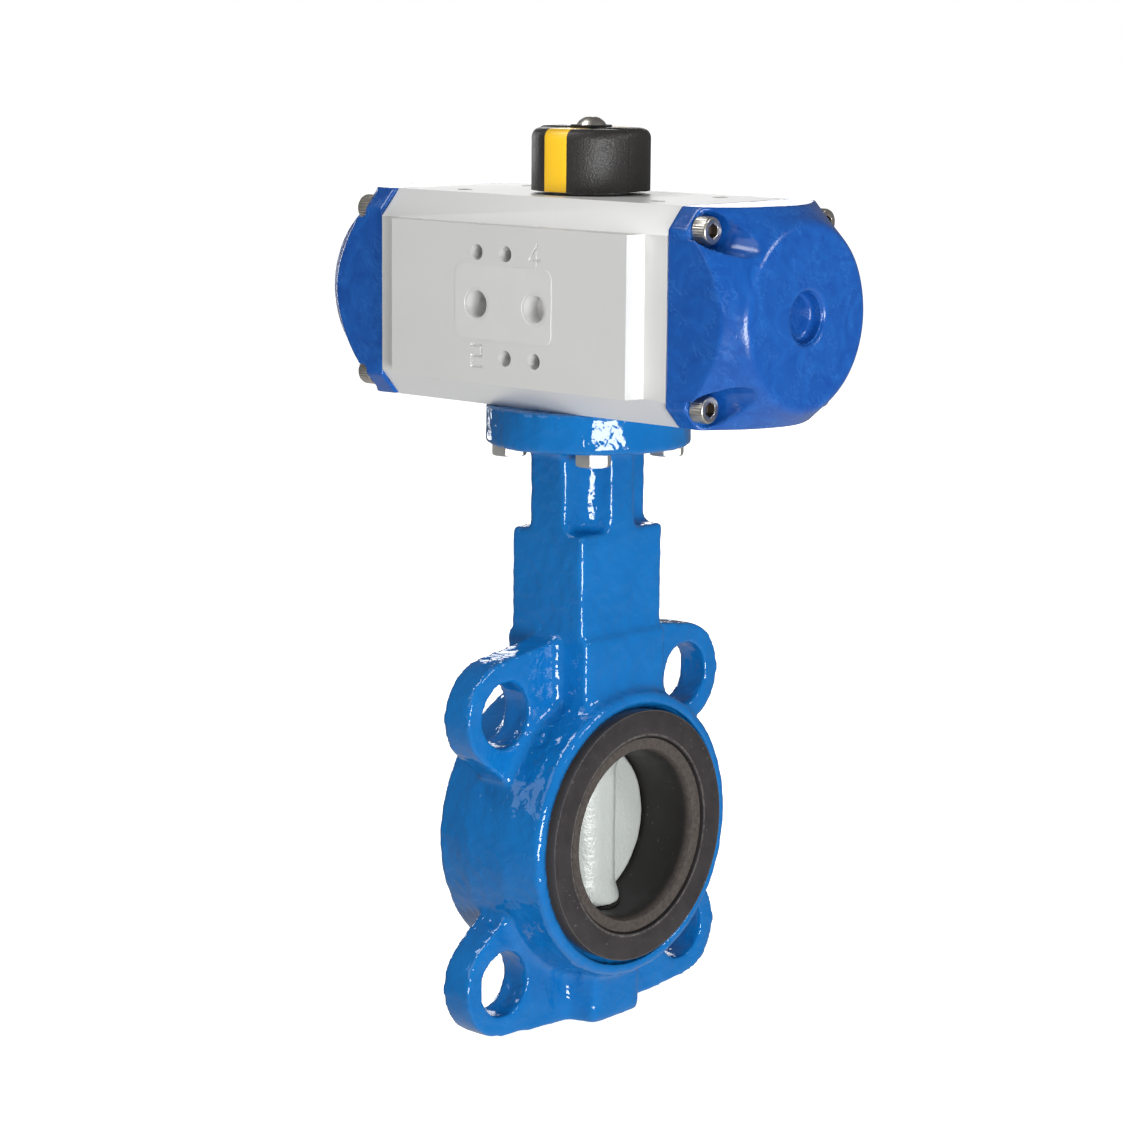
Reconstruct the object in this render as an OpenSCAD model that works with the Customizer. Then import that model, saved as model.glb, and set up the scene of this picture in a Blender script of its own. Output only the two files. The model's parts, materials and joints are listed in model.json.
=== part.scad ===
// Pneumatic butterfly valve: a wafer valve for a 50 mm pipe, turned a quarter
// turn by a double-acting rack and pinion actuator. Millimetres. The origin is
// the centre of the closed disc, +X runs along the pipe and +Z up the stem.

/* [Pipe and disc] */
// Bore of the rubber seat liner
bore_d = 53; // [51:0.5:54]
// Length of the iron body along the pipe
body_len = 43.2; // [40:0.2:46]
// Thickness of the disc plate
disc_t = 5.6; // [4:0.2:7]
// Diameter of the disc's stem hub
hub_d = 19.8; // [19:0.1:21]
// Distance of the hub's flat front from its middle
hub_front = 9.4; // [8.6:0.1:9.4]
// Diameter of the hub's two ends, which bear on the liner
hub_end_d = 22.8; // [21:0.2:24]
// Height of the flat seats at the hub's two ends, from the pipe axis
hub_seat_z = 25.6; // [25:0.1:26]

/* [Seat liner] */
// Wall of the liner round its bore
liner_wall = 7.5; // [6:0.5:8]
// Outside diameter of the liner's end faces
face_d = 81; // [78:1:82]
// Thickness of each end face
face_t = 5.8; // [4:0.2:6]
// How far each end face stands proud of the body
face_proud = 1.8; // [1:0.1:2.4]
// Outside diameter of the inner lip
lip_d = 63.4; // [61:0.2:66]
// How far the inner lip lies behind the end face
lip_drop = 0.8; // [0.4:0.1:1.2]

/* [Valve body ring] */
// Outside diameter of the ring at the ears
ring_d = 95.2; // [93.6:0.4:97]
// Outside diameter of the ring at its two rims
rim_d = 92.4; // [90:0.4:93.2]
// Width of each rim before the ring swells
rim_w = 3.6; // [2:0.2:5]
// Chamfer on the rim's outer edge
rim_chamfer = 1.2; // [0.4:0.2:1.6]

/* [Flange ears] */
// Pitch circle of the metric pipe flange
metric_circle_d = 125; // [123:1:127]
// Pitch circle of the inch pipe flange
inch_circle_d = 120.6; // [119:0.2:122]
// Bolt eye diameter
eye_d = 21; // [19:0.5:22]
// Wall of metal round each eye
eye_wall = 6.5; // [5:0.1:7]
// Thickness of the ears along the pipe
ear_t = 11; // [9:0.5:13]
// Angle where an ear runs into the ring, from the level
ear_root_angle = 26.5; // [22:0.5:30]

/* [Neck] */
// Width of the neck across the pipe
neck_y = 39; // [37:0.5:41]
// Depth of the neck along the pipe
neck_x = 30; // [28:0.5:32]
// Depth of the collar below the neck, along the pipe
collar_x = 34; // [33:0.5:36]
// Height of the collar's top above the pipe axis
collar_top = 64; // [62:0.5:67]
// Height of the solid neck's top above the pipe axis
shoulder_z = 98; // [92:0.5:100]
// Height of the top flange's face above the pipe axis
flange_z = 137; // [134:0.5:142]
// Rib width, neck ribs that face across the pipe
rib_across = 15; // [13:0.5:17]
// Rib width, neck ribs that face along the pipe
rib_along = 11.8; // [10:0.2:13]
// Height of the body's foot below the pipe axis
foot_z = 62.5; // [61:0.5:65]
// Width of the foot's boss across the pipe
foot_y = 22; // [20:0.5:26]
// Depth of the foot's boss along the pipe
foot_x = 30; // [28:0.5:32]

/* [Top flange] */
// Diameter of the top flange
flange_d = 65; // [62:0.5:68]
// Thickness of the top flange
flange_t = 12.6; // [11:0.2:14]
// Pitch circle of the four actuator bolts
flange_pcd = 50; // [49:0.5:51]
// Thread diameter of the actuator bolts
flange_bolt_d = 6; // [5:1:6]
// Diameter of the centring ring between valve and actuator
centring_d = 35; // [34:0.5:36]

/* [Stem] */
// Stem diameter
stem_d = 14; // [13:0.5:14.5]
// Width across the flats of the stem's squares
stem_square = 11; // [10.5:0.1:11.4]
// Diameter of the lower end of the stem
stem_foot_d = 11; // [10:0.2:11]
// Wall of the stem bushes
bush_wall = 1.2; // [1:0.1:1.4]
// Length of the upper and middle bushes
bush_len = 13; // [10:0.5:14]
// Length of the lower bush
foot_bush_len = 17; // [12:0.5:18]
// Height of the lower stem ring seal above the pipe axis
stem_seal_z = 92; // [84:0.5:96]
// Distance between the two stem ring seals
stem_seal_pitch = 6; // [5:0.5:8]

/* [Actuator body] */
// Length of the extruded body
act_len = 118.4; // [116:0.4:124]
// Width of the extruded body
act_w = 66.2; // [64:0.2:69]
// Height of the extruded body
act_h = 66; // [65:0.2:68]
// Corner cut of the body, along its width
act_cut_y = 7.7; // [7:0.1:8]
// Corner cut of the body, along its height
act_cut_z = 8.5; // [8:0.1:8.8]
// Wall between the cylinder and the top or bottom of the body
cyl_wall = 7; // [6.5:0.1:8]
// How far the valve mounting pad stands off the body
pad_t = 6.1; // [5:0.1:7]
// Length of the valve mounting pad
pad_len = 97.5; // [92:0.5:102]
// How much longer the pad is at its root, at each end
pad_slope = 1.9; // [0.5:0.1:3]

/* [Air connections] */
// Distance between the two air ports
port_pitch = 24; // [23:0.5:25]
// Diameter of the air ports
port_d = 8.6; // [8:0.1:9.8]
// Distance between the two mounting screws of the control valve
namur_pitch = 32; // [31:0.5:33]
// Diameter of the screw holes on the pad and on top
tap_d = 5; // [4:0.5:5.5]
// Depth of the screw holes on the pad and on top
tap_depth = 8; // [6:0.5:9]
// Diameter of the drilled air channel
channel_d = 3; // [2:0.2:3]
// Distance between the top screw holes, along the actuator
top_pitch_x = 80; // [76:1:84]
// Distance between the top screw holes, across the actuator
top_pitch_y = 30; // [28:1:32]
// Length of the blank label
label_len = 40; // [36:1:42]
// Height of the blank label
label_h = 23; // [18:0.5:24]

/* [End caps] */
// Length of each end cap
cap_len = 27.3; // [26:0.1:29]
// Corner cut of the cap, along its width
cap_cut_y = 6.2; // [5.6:0.1:6.8]
// Corner cut of the cap, along its height
cap_cut_z = 6.4; // [5.8:0.1:7]
// How far in from the cap's top its flat end begins
cone_in = 5; // [4:0.5:9]
// Slope of the cone round the flat end
cone_slope = 52.5; // [45:0.5:58]
// Rounding between the cone and the flat end
cone_round = 3.5; // [1:0.5:10]
// Diameter of the dished centre of the cap
dish_d = 15.6; // [14:0.2:20]
// Depth of the dished centre
dish_depth = 5.5; // [3:0.5:7]
// Thread diameter of the cap screws
cap_screw_d = 5; // [4:0.5:5]
// Distance of the cap screws from the actuator's sides
screw_from_side = 5.6; // [5:0.1:6]
// Distance of the cap screws from the actuator's top and bottom
screw_from_top = 6.7; // [6:0.1:7]
// Distance from the actuator body to the seat of the screw heads
cap_screw_seat = 7.8; // [6:0.2:9]
// Radius of the pocket round each screw head
pocket_r = 6; // [5.6:0.1:6.2]

/* [Pistons and pinion] */
// Gear module
gear_module = 1.25; // [1.2:0.01:1.3]
// Number of pinion teeth
teeth = 16; // [16:4:20]
// Height of the pinion's toothed part
gear_h = 24; // [20:1:26]
// Length of each piston head
head_len = 12; // [11:0.5:14]
// Height of each rack
rack_h = 18; // [14:1:20]
// Diameter of the pinion's lower journal
lower_journal_d = 24; // [24:0.2:25]
// Diameter of the pinion's upper journal
upper_journal_d = 18; // [17:0.5:19]

/* [Position indicator] */
// Diameter of the indicator
puck_d = 37.3; // [34:0.1:40]
// Height of the indicator
puck_h = 19.3; // [17:0.1:22]
// Rounding of the indicator's top edge
puck_round = 3; // [1:0.5:4]
// Width of the stripes let into the indicator
stripe_w = 8.5; // [6:0.5:12]
// Turn of the indicator on the pinion
puck_turn = 4; // [0:1:10]
// Thread diameter of the indicator screw
puck_screw_d = 6; // [5:1:6]

/* [Clearances] */
// Radial clearance of running fits
run_gap = 0.05; // [0.03:0.01:0.08]
// Clearance between pieces that are seated together
seat_gap = 0.02; // [0.01:0.01:0.04]
// Radial clearance round bolts
bolt_gap = 0.3; // [0.2:0.05:0.5]
// Radial clearance between the disc and the liner
disc_gap = 0.15; // [0.1:0.05:0.3]
// Clearance between moving pieces that never touch
free_gap = 0.4; // [0.3:0.05:0.6]
// Play between gear teeth, along the pitch line
backlash = 0.3; // [0.2:0.05:0.4]

/* [Hidden] */
$fn = 96;

// Length that a cutting solid runs past the face it cuts
past = 1;

// Pipe seat
bore_r = bore_d / 2;
liner_r = bore_r + liner_wall;
face_x = body_len / 2 + face_proud;
recess_x = face_x - face_t;
recess_gap = 1.9;
recess_r = face_d / 2 + recess_gap;
hub_r = hub_d / 2;
hub_end = hub_seat_z - 3 * run_gap;
hub_end_r = hub_end_d / 2;
seat_spot_r = hub_end_r + free_gap;
mouth_len = 7;
mouth_flare = 1.4;
ring_r = ring_d / 2;
rim_r = rim_d / 2;
foot_flank = 3.5;
ear_land = 2;

// Ears on a pitch circle between the two flange standards, so that the eyes take both
eye_pcd = (metric_circle_d + inch_circle_d) / 2;
eye_at = eye_pcd / 2 * cos(45);
ear_r = eye_d / 2 + eye_wall;
// How far an ear's straight edge passes inside the circle it meets, so that they cross cleanly
tuck = 0.02;

// Stem
stem_r = stem_d / 2;
stem_foot_r = stem_foot_d / 2;
bush_r = stem_r + run_gap + bush_wall;
foot_bush_r = stem_foot_r + run_gap + bush_wall;
stem_bore_r = stem_r + bolt_gap;
clip_t = 1.2;
clip_wide = 2.6;
clip_deep = 0.6;
counterbore_depth = 10;
counterbore_z = flange_z - counterbore_depth;
clip_room_r = stem_r + clip_wide + 2 * free_gap;
clip_z = counterbore_z + clip_t;
cover_z = clip_z + clip_t + 2 * free_gap;
cover_t = 1.5;
ledge = 1.6;
cover_r = clip_room_r + ledge;
retainer_z = cover_z + cover_t + seat_gap;
retainer_r = cover_r + ledge / 2;
square_z = retainer_z + clip_t + free_gap;
square_len = 19.5;
bush_step = 3;
foot_bush_z = -(liner_r + bush_step);
foot_room = 1.5;
stem_end_z = foot_bush_z - foot_bush_len - foot_room;
middle_bush_z = liner_r + bush_step;
stem_seal_t = 1.1;
seal_groove = 1.2;

// Top flange
flange_under_z = flange_z - flange_t;
flange_hole_at = flange_pcd / 2 * cos(45);
flange_head_h = 4;
flange_head_flats = 10 * flange_bolt_d / 6;
flange_thread_len = 9;
thread_depth_ratio = 0.84;
drill_past = 1;
centring_wall = 2.4;
centring_up = 1.2;
centring_down = 2.8;

// Actuator
axis_z = flange_z + act_h / 2;
act_top_z = flange_z + act_h;
cyl_r = min(act_h, act_w) / 2 - cyl_wall;
pad_y = act_w / 2 + pad_t;
namur_at = namur_pitch / 2;
port_at = port_pitch / 2;
wall_bottom_z = axis_z - cyl_r;
channel_wall = 2.6;
channel_drop = 2.8;
channel_y = -(cyl_r + channel_d / 2 + channel_wall);
channel_z = -channel_drop - channel_d / 2;
port_step = 1.2;
channel_slot = 4;
label_t = 0.15;
label_round = 3;
label_shift_x = -1;
label_shift_z = 0.7;
numeral_h = 6.6;
numeral_w = 4;
numeral_line = 0.8;
numeral_depth = 0.45;

// End caps
gasket_t = 0.8;
gasket_inset = 1;
cap_x = act_len / 2;
cap_screw_y = act_w / 2 - screw_from_side;
cap_screw_z = act_h / 2 - screw_from_top;
cap_end_x = cap_x + cap_len;
cone_r = act_h / 2 - cone_in;
cone_turn = cone_round * tan(cone_slope / 2);
cap_wall = 4;
cap_cavity_r = cyl_r - cap_wall;
cap_cavity_depth = 12;
cap_seat_x = cap_x + cap_screw_seat;
cap_head_h = cap_screw_d;
cap_head_r = 0.85 * cap_screw_d;
cap_hex = 0.8 * cap_screw_d;
cap_thread_len = 12;
pocket_lean = 10;
pocket_step = 0.5;

// Pinion and racks
pressure_angle = 20;
pitch_r = gear_module * teeth / 2;
base_r = pitch_r * cos(pressure_angle);
tip_r = pitch_r + gear_module;
root_r = pitch_r - 1.25 * gear_module;
tooth_pitch = PI * gear_module;
stroke = teeth / 4 * tooth_pitch;
addendum = 0.92 * gear_module;
dedendum = 1.25 * gear_module;
flank_slope = tan(pressure_angle);
teeth_behind = teeth / 4 + 2;
teeth_ahead = 2;
lower_journal_r = lower_journal_d / 2;
upper_journal_r = upper_journal_d / 2;
bearing_wall = 1.6;
seal_t = 1.1;
shim = 0.1;
land = 0.5;
lower_bearing_z = flange_z + centring_up + shim;
lower_seal_z = wall_bottom_z - seal_t - land;
lower_bearing_h = lower_seal_z - seal_t - land - lower_bearing_z;
upper_seal_z = act_top_z - seal_t - land;
upper_seat_z = upper_seal_z - seal_t - land;
upper_bearing_h = 4.2;
upper_bearing_z = upper_seat_z - upper_bearing_h - shim;
upper_bearing_r = upper_journal_r + bearing_wall + free_gap;
collar_r = tip_r - land;
pinion_clip_deep = 0.8;
washer_t = 1;
puck_z = act_top_z + washer_t + 2 * run_gap;
stub_r = 7;
stub_drop = 7;
stub_top_z = puck_z + puck_h - stub_drop;
journal_top_z = puck_z + clip_t + 2 * free_gap;
washer_r = 11.5;
pinion_clip_r = 11;
socket_len = square_z + square_len - flange_z + free_gap;

// Pistons
piston_r = cyl_r - 3 * run_gap;
running_r = cyl_r - run_gap;
piston_end_gap = 1;
head_out_x = act_len / 2 - stroke - piston_end_gap;
head_in_x = head_out_x - head_len;
rack_end_x = -(teeth_behind + 0.5) * tooth_pitch;
rack_back_gap = 1.6;
rack_back_r = cyl_r - rack_back_gap;
band_w = 4;
band_t = 1.5;
piston_seal_t = 1.5;
side_land = 1.2;
guide_t = 2.4;
guide_len = 20;
guide_h = 12;

// Indicator
puck_r = puck_d / 2;
puck_top_z = puck_z + puck_h;
puck_wall = 3;
sleeve_wall = 2.6;
stripe_t = 1.2;
stripe_proud = 0.4;
puck_washer_t = 0.9;
puck_washer_r = 6.5;
puck_head_r = 0.79 * puck_screw_d;
puck_head_h = 0.46 * puck_screw_d;
puck_screw_len = 16;

// Point where a line from p touches the circle of radius r round c, on the given side
function touch(p, c, r, side) =
    let (d = p - c, turn = atan2(d[1], d[0]) + side * acos(r / norm(d)))
    c + r * [cos(turn), sin(turn)];

function turned(p, a) = [p[0] * cos(a) - p[1] * sin(a), p[0] * sin(a) + p[1] * cos(a)];
function involute_angle(r) = let (t = sqrt(pow(r / base_r, 2) - 1)) t * 180 / PI - atan(t);
function flank_angle(r) =
    90 / teeth - backlash / 4 / pitch_r * 180 / PI
    + involute_angle(pitch_r) - involute_angle(max(r, base_r));

// Cuts and solids that more than one piece uses
module tube(r_out, r_in, h) {
    difference() {
        cylinder(r = r_out, h = h);
        translate([0, 0, -past]) cylinder(r = r_in, h = h + 2 * past);
    }
}

// Turns a solid that stands on +Z so that it runs along +X from x
module along_x(x) {
    translate([x, 0, 0]) rotate([0, 90, 0]) children();
}

// Turns a flat outline drawn in Y and Z into a plate of thickness t centred on x = 0
module plate_across(t) {
    rotate([90, 0, 90]) linear_extrude(height = t, center = true) children();
}

module four_ways(x, y) {
    for (sx = [-1, 1], sy = [-1, 1]) translate([sx * x, sy * y, 0]) children();
}

module at_cap_screws(x) {
    for (sy = [-1, 1], sz = [-1, 1])
        translate([x, sy * cap_screw_y, axis_z + sz * cap_screw_z]) rotate([0, 90, 0]) children();
}

module ring_seal(r_mid, t) {
    rotate_extrude() translate([r_mid, 0]) circle(r = t, $fn = 32);
}

// Section of a box w wide and h high with its corners cut
module cut_corner_section(w, h, cut_w, cut_h) {
    polygon([
        [w / 2, h / 2 - cut_h], [w / 2 - cut_w, h / 2],
        [cut_w - w / 2, h / 2], [-w / 2, h / 2 - cut_h],
        [-w / 2, cut_h - h / 2], [cut_w - w / 2, -h / 2],
        [w / 2 - cut_w, -h / 2], [w / 2, cut_h - h / 2],
    ]);
}

module square_bar(flats, r, z, len) {
    translate([0, 0, z]) intersection() {
        translate([-flats / 2, -flats / 2, 0]) cube([flats, flats, len]);
        cylinder(r = r, h = len);
    }
}

// Valve body
module body_ring_profile() {
    half = body_len / 2;
    swell = half - rim_w;
    flat = ear_t / 2 + ear_land;
    polygon([
        [liner_r - past, -half], [rim_r - rim_chamfer, -half], [rim_r, rim_chamfer - half],
        [rim_r, -swell], [ring_r, -flat], [ring_r, flat], [rim_r, swell],
        [rim_r, half - rim_chamfer], [rim_r - rim_chamfer, half], [liner_r - past, half],
    ]);
}

// One quarter of the ear plate, from the ring's middle out to an eye. The top or
// bottom edge starts at the corner [edge_y, edge_z].
module ear_quarter(edge_y, edge_z) {
    eye = [eye_at, eye_at];
    root = (ring_r - past) * [cos(ear_root_angle), sin(ear_root_angle)];
    corner = [edge_y, edge_z];
    polygon([
        [0, 0], [root[0], 0], root,
        touch(root, eye, ear_r - tuck, 1), eye, touch(corner, eye, ear_r - tuck, -1),
        corner, [0, edge_z],
    ]);
    translate(eye) circle(r = ear_r);
}

module ear_outline() {
    for (side = [0, 1]) mirror([side, 0]) {
        ear_quarter(neck_y / 2, collar_top);
        mirror([0, 1]) ear_quarter(foot_y / 2 + foot_flank, foot_z);
    }
}

module foot_boss() {
    flank = foot_y / 2 + foot_flank;
    translate([0, 0, -foot_z]) linear_extrude(height = foot_z - liner_r)
        polygon([
            [foot_x / 2, -foot_y / 2], [foot_x / 2, foot_y / 2], [ear_t / 2, flank],
            [-ear_t / 2, flank], [-foot_x / 2, foot_y / 2], [-foot_x / 2, -foot_y / 2],
            [-ear_t / 2, -flank], [ear_t / 2, -flank],
        ]);
}

module block(x, y, z_low, z_high) {
    translate([-x / 2, -y / 2, z_low]) cube([x, y, z_high - z_low]);
}

module valve_body() {
    color([0.05, 0.36, 0.68])
    difference() {
        union() {
            rotate([0, 90, 0]) rotate_extrude() body_ring_profile();
            plate_across(ear_t) ear_outline();
            block(collar_x, neck_y, liner_r, collar_top);
            block(neck_x, neck_y, liner_r, shoulder_z);
            block(rib_across, neck_y, liner_r, flange_z - past);
            block(neck_x, rib_along, liner_r, flange_z - past);
            foot_boss();
            translate([0, 0, flange_under_z]) cylinder(r = flange_d / 2, h = flange_t);
        }
        along_x(-body_len) cylinder(r = liner_r, h = 2 * body_len);
        for (side = [0, 1]) mirror([side, 0, 0])
            along_x(recess_x) cylinder(r = recess_r, h = body_len);
        for (sy = [-1, 1], sz = [-1, 1])
            translate([0, sy * eye_at, sz * eye_at]) along_x(-body_len)
                cylinder(r = eye_d / 2, h = 2 * body_len);
        cylinder(r = stem_bore_r, h = flange_z + past);
        cylinder(r = bush_r + seat_gap, h = middle_bush_z + bush_len);
        translate([0, 0, counterbore_z - bush_len])
            cylinder(r = bush_r + seat_gap, h = bush_len + past);
        translate([0, 0, counterbore_z]) cylinder(r = clip_room_r, h = flange_z);
        translate([0, 0, cover_z]) cylinder(r = cover_r + seat_gap, h = flange_z);
        translate([0, 0, retainer_z - seat_gap])
            cylinder(r = retainer_r + seat_gap, h = clip_t + 2 * seat_gap);
        translate([0, 0, flange_z - centring_down])
            cylinder(r = centring_d / 2 + seat_gap, h = flange_z);
        translate([0, 0, stem_end_z - free_gap])
            cylinder(r = foot_bush_r + seat_gap, h = -stem_end_z + free_gap);
        four_ways(flange_hole_at, flange_hole_at) translate([0, 0, flange_under_z - past])
            cylinder(r = flange_bolt_d / 2 + bolt_gap, h = flange_t + 2 * past);
    }
}

// Rubber liner: a tube with two end faces, and a flat seat at each end of the disc's hub
module liner_profile() {
    lip_x = face_x - lip_drop;
    lip_r = lip_d / 2;
    edge = 0.3;
    polygon([
        [bore_r, 0], [bore_r, face_x - mouth_len],
        [bore_r + 0.3 * mouth_flare, face_x - mouth_len / 2],
        [bore_r + mouth_flare, lip_x - edge], [lip_r - edge, lip_x], [lip_r, lip_x - edge],
        [lip_r + edge, face_x], [face_d / 2, face_x], [face_d / 2, recess_x + seat_gap],
        [liner_r - seat_gap, recess_x + seat_gap], [liner_r - seat_gap, 0],
    ]);
}

module seat_liner() {
    color([0.13, 0.12, 0.12])
    difference() {
        union() {
            for (side = [0, 1]) mirror([side, 0, 0])
                rotate([0, 90, 0]) rotate_extrude() liner_profile();
            for (side = [0, 1]) mirror([0, 0, side])
                translate([0, 0, hub_seat_z])
                    cylinder(r = seat_spot_r, h = bore_r - hub_seat_z + past);
        }
        translate([0, 0, -hub_seat_z]) cylinder(r = seat_spot_r, h = 2 * hub_seat_z);
        cylinder(r = stem_r + run_gap, h = 2 * liner_r);
        translate([0, 0, -2 * liner_r]) cylinder(r = stem_foot_r + run_gap, h = 2 * liner_r);
    }
}

// Disc: a round plate with a stem hub through it, closed across the bore
module disc() {
    rim = bore_r - disc_gap;
    half = disc_t / 2;
    edge = 1.3;
    flare = 5.5;
    collar = 1.8;
    color([0.78, 0.8, 0.79])
    difference() {
        union() {
            intersection() {
                rotate([0, 90, 0]) rotate_extrude() polygon([
                    [0, -half], [rim - edge, -half], [rim, edge - half],
                    [rim, half - edge], [rim - edge, half], [0, half],
                ]);
                translate([-half, -rim, -hub_end]) cube([disc_t, 2 * rim, 2 * hub_end]);
            }
            intersection() {
                translate([0, 0, -hub_end]) cylinder(r = hub_r, h = 2 * hub_end);
                block(2 * hub_front, 3 * hub_r, -hub_end, hub_end);
            }
            for (side = [0, 1]) mirror([0, 0, side]) translate([0, 0, hub_end - collar]) {
                translate([0, 0, -flare]) cylinder(r1 = hub_r, r2 = hub_end_r, h = flare);
                cylinder(r = hub_end_r, h = collar);
            }
        }
        square_bar(stem_square + 2 * seat_gap, stem_r + run_gap, -hub_end - past,
                   2 * hub_end + 2 * past);
    }
}

// Stem: one piece from the lower bush, through the disc, up to the actuator's pinion
module valve_stem() {
    color([0.72, 0.73, 0.74])
    difference() {
        union() {
            translate([0, 0, stem_end_z]) cylinder(r = stem_foot_r, h = -stem_end_z);
            square_bar(stem_square, stem_r, -hub_end, 2 * hub_end);
            translate([0, 0, hub_end]) cylinder(r = stem_r, h = square_z - hub_end);
            square_bar(stem_square, stem_r, square_z - past, square_len + past);
        }
        translate([0, 0, clip_z]) tube(stem_r + past, stem_r - clip_deep, clip_t);
        for (z = [stem_seal_z, stem_seal_z + stem_seal_pitch])
            translate([0, 0, z - stem_seal_t]) tube(stem_r + past, stem_r - seal_groove, 2 * stem_seal_t);
    }
}

module stem_o_rings() {
    outer = stem_bore_r - run_gap;
    inner = stem_r - seal_groove + seat_gap;
    color([0.08, 0.08, 0.08])
    for (z = [stem_seal_z, stem_seal_z + stem_seal_pitch])
        translate([0, 0, z]) ring_seal((outer + inner) / 2, (outer - inner) / 2);
}

module upper_stem_bush() {
    color([0.75, 0.55, 0.3]) translate([0, 0, counterbore_z - bush_len])
        tube(bush_r, stem_r + run_gap, bush_len);
}

module middle_stem_bush() {
    color([0.75, 0.55, 0.3]) translate([0, 0, middle_bush_z])
        tube(bush_r, stem_r + run_gap, bush_len);
}

module lower_stem_bush() {
    color([0.75, 0.55, 0.3]) translate([0, 0, foot_bush_z - foot_bush_len])
        tube(foot_bush_r, stem_foot_r + run_gap, foot_bush_len);
}

module stem_circlip() {
    color([0.5, 0.5, 0.52]) translate([0, 0, clip_z + seat_gap])
        tube(stem_r + clip_wide, stem_r - clip_deep + seat_gap, clip_t - 2 * seat_gap);
}

module stem_cover_washer() {
    color([0.7, 0.7, 0.72]) translate([0, 0, cover_z])
        tube(cover_r, stem_bore_r, cover_t);
}

module stem_retaining_ring() {
    color([0.5, 0.5, 0.52]) translate([0, 0, retainer_z]) tube(retainer_r, clip_room_r, clip_t);
}

module centring_ring() {
    outer = centring_d / 2;
    color([0.7, 0.71, 0.72]) translate([0, 0, flange_z - centring_down + seat_gap])
        tube(outer, outer - centring_wall, centring_down + centring_up - 2 * seat_gap);
}

module flange_bolts() {
    head_r = flange_head_flats / 2 / cos(30);
    color([0.75, 0.75, 0.76])
    four_ways(flange_hole_at, flange_hole_at) {
        translate([0, 0, flange_under_z - flange_head_h]) intersection() {
            cylinder(r = head_r, h = flange_head_h, $fn = 6);
            cylinder(r1 = 0.9 * head_r, r2 = 0.9 * head_r + flange_head_h, h = flange_head_h);
        }
        translate([0, 0, flange_under_z]) cylinder(r = flange_bolt_d / 2, h = flange_t);
        translate([0, 0, flange_z])
            cylinder(r = thread_depth_ratio * flange_bolt_d / 2, h = flange_thread_len);
    }
}

// Actuator body
module act_section() {
    cut_corner_section(act_w, act_h, act_cut_y, act_cut_z);
}

// Outline of the pad from above, from the face back into the body
module pad_outline() {
    root = pad_len / 2 + pad_slope;
    side_y = -act_w / 2;
    polygon([
        [-pad_len / 2, -pad_y], [pad_len / 2, -pad_y], [root, side_y], [root, 0],
        [-root, 0], [-root, side_y],
    ]);
}

// A blind hole drilled into the pad's face at x, z, measured from the pad's middle
module into_pad(x, z, r, depth) {
    translate([x, -pad_y - past, axis_z + z]) rotate([-90, 0, 0])
        cylinder(r = r, h = depth + past);
}

// One straight line of a numeral, from [x, z] to [x2, z2], cut into the pad's face
module numeral_stroke(a, b) {
    d = b - a;
    translate([a[0], -pad_y + numeral_depth, axis_z + a[1]])
        rotate([0, -atan2(d[1], d[0]), 0])
            translate([-numeral_line / 2, -numeral_depth - past, -numeral_line / 2])
                cube([norm(d) + numeral_line, numeral_depth + past, numeral_line]);
}

module numeral(points, x, z) {
    for (i = [0:len(points) - 2])
        numeral_stroke([x, z] + points[i], [x, z] + points[i + 1]);
}

module port_numerals() {
    w = numeral_w / 2;
    h = numeral_h / 2;
    two = [[-w, h], [w, h], [w, 0], [-w, 0], [-w, -h], [w, -h]];
    numeral([[w, -h / 3], [-w, -h / 3], [w / 2, h], [w / 2, -h]], port_at, namur_at);
    numeral(two, -port_at, -namur_at);
}

module actuator_body() {
    color([0.74, 0.75, 0.76])
    difference() {
        union() {
            translate([0, 0, axis_z]) plate_across(act_len) act_section();
            translate([0, 0, axis_z + act_cut_z - act_h / 2])
                linear_extrude(height = act_h - 2 * act_cut_z) pad_outline();
        }
        translate([0, 0, axis_z]) along_x(-act_len) cylinder(r = cyl_r, h = 2 * act_len);
        // pinion seats
        translate([0, 0, flange_z - past]) cylinder(r = lower_journal_r + bolt_gap, h = act_h / 2);
        translate([0, 0, flange_z - past])
            cylinder(r = lower_journal_r + bearing_wall + seat_gap,
                     h = lower_bearing_z + lower_bearing_h - flange_z + past);
        translate([0, 0, axis_z]) cylinder(r = upper_journal_r + bolt_gap, h = act_h);
        translate([0, 0, axis_z])
            cylinder(r = upper_bearing_r + seat_gap, h = upper_seat_z - axis_z);
        translate([0, 0, flange_z - past])
            cylinder(r = centring_d / 2 + seat_gap, h = centring_up + past);
        // threaded holes under the body, in its ends, on top and on the pad
        four_ways(flange_hole_at, flange_hole_at) translate([0, 0, flange_z - past])
            cylinder(r = thread_depth_ratio * flange_bolt_d / 2 + seat_gap,
                     h = flange_thread_len + past + drill_past);
        for (side = [0, 1]) mirror([side, 0, 0]) at_cap_screws(cap_x - cap_thread_len - drill_past)
            cylinder(r = thread_depth_ratio * cap_screw_d / 2 + seat_gap,
                     h = cap_thread_len + drill_past + past);
        four_ways(top_pitch_x / 2, top_pitch_y / 2) translate([0, 0, act_top_z - tap_depth])
            cylinder(r = tap_d / 2, h = tap_depth + past);
        for (side = [-1, 1]) {
            into_pad(0, side * namur_at, tap_d / 2, tap_depth);
            into_pad(side * port_at, -side * namur_at, tap_d / 2, tap_depth);
        }
        // air ports: the right one opens between the pistons, the left one into the channel
        into_pad(port_at, 0, port_d / 2, pad_t);
        into_pad(port_at, port_step, channel_d / 2, pad_y - cyl_r + past);
        into_pad(-port_at, 0, port_d / 2, pad_y + channel_y);
        translate([0, channel_y, axis_z + channel_z]) along_x(-act_len)
            cylinder(r = channel_d / 2, h = 2 * act_len);
        port_numerals();
    }
}

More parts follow.
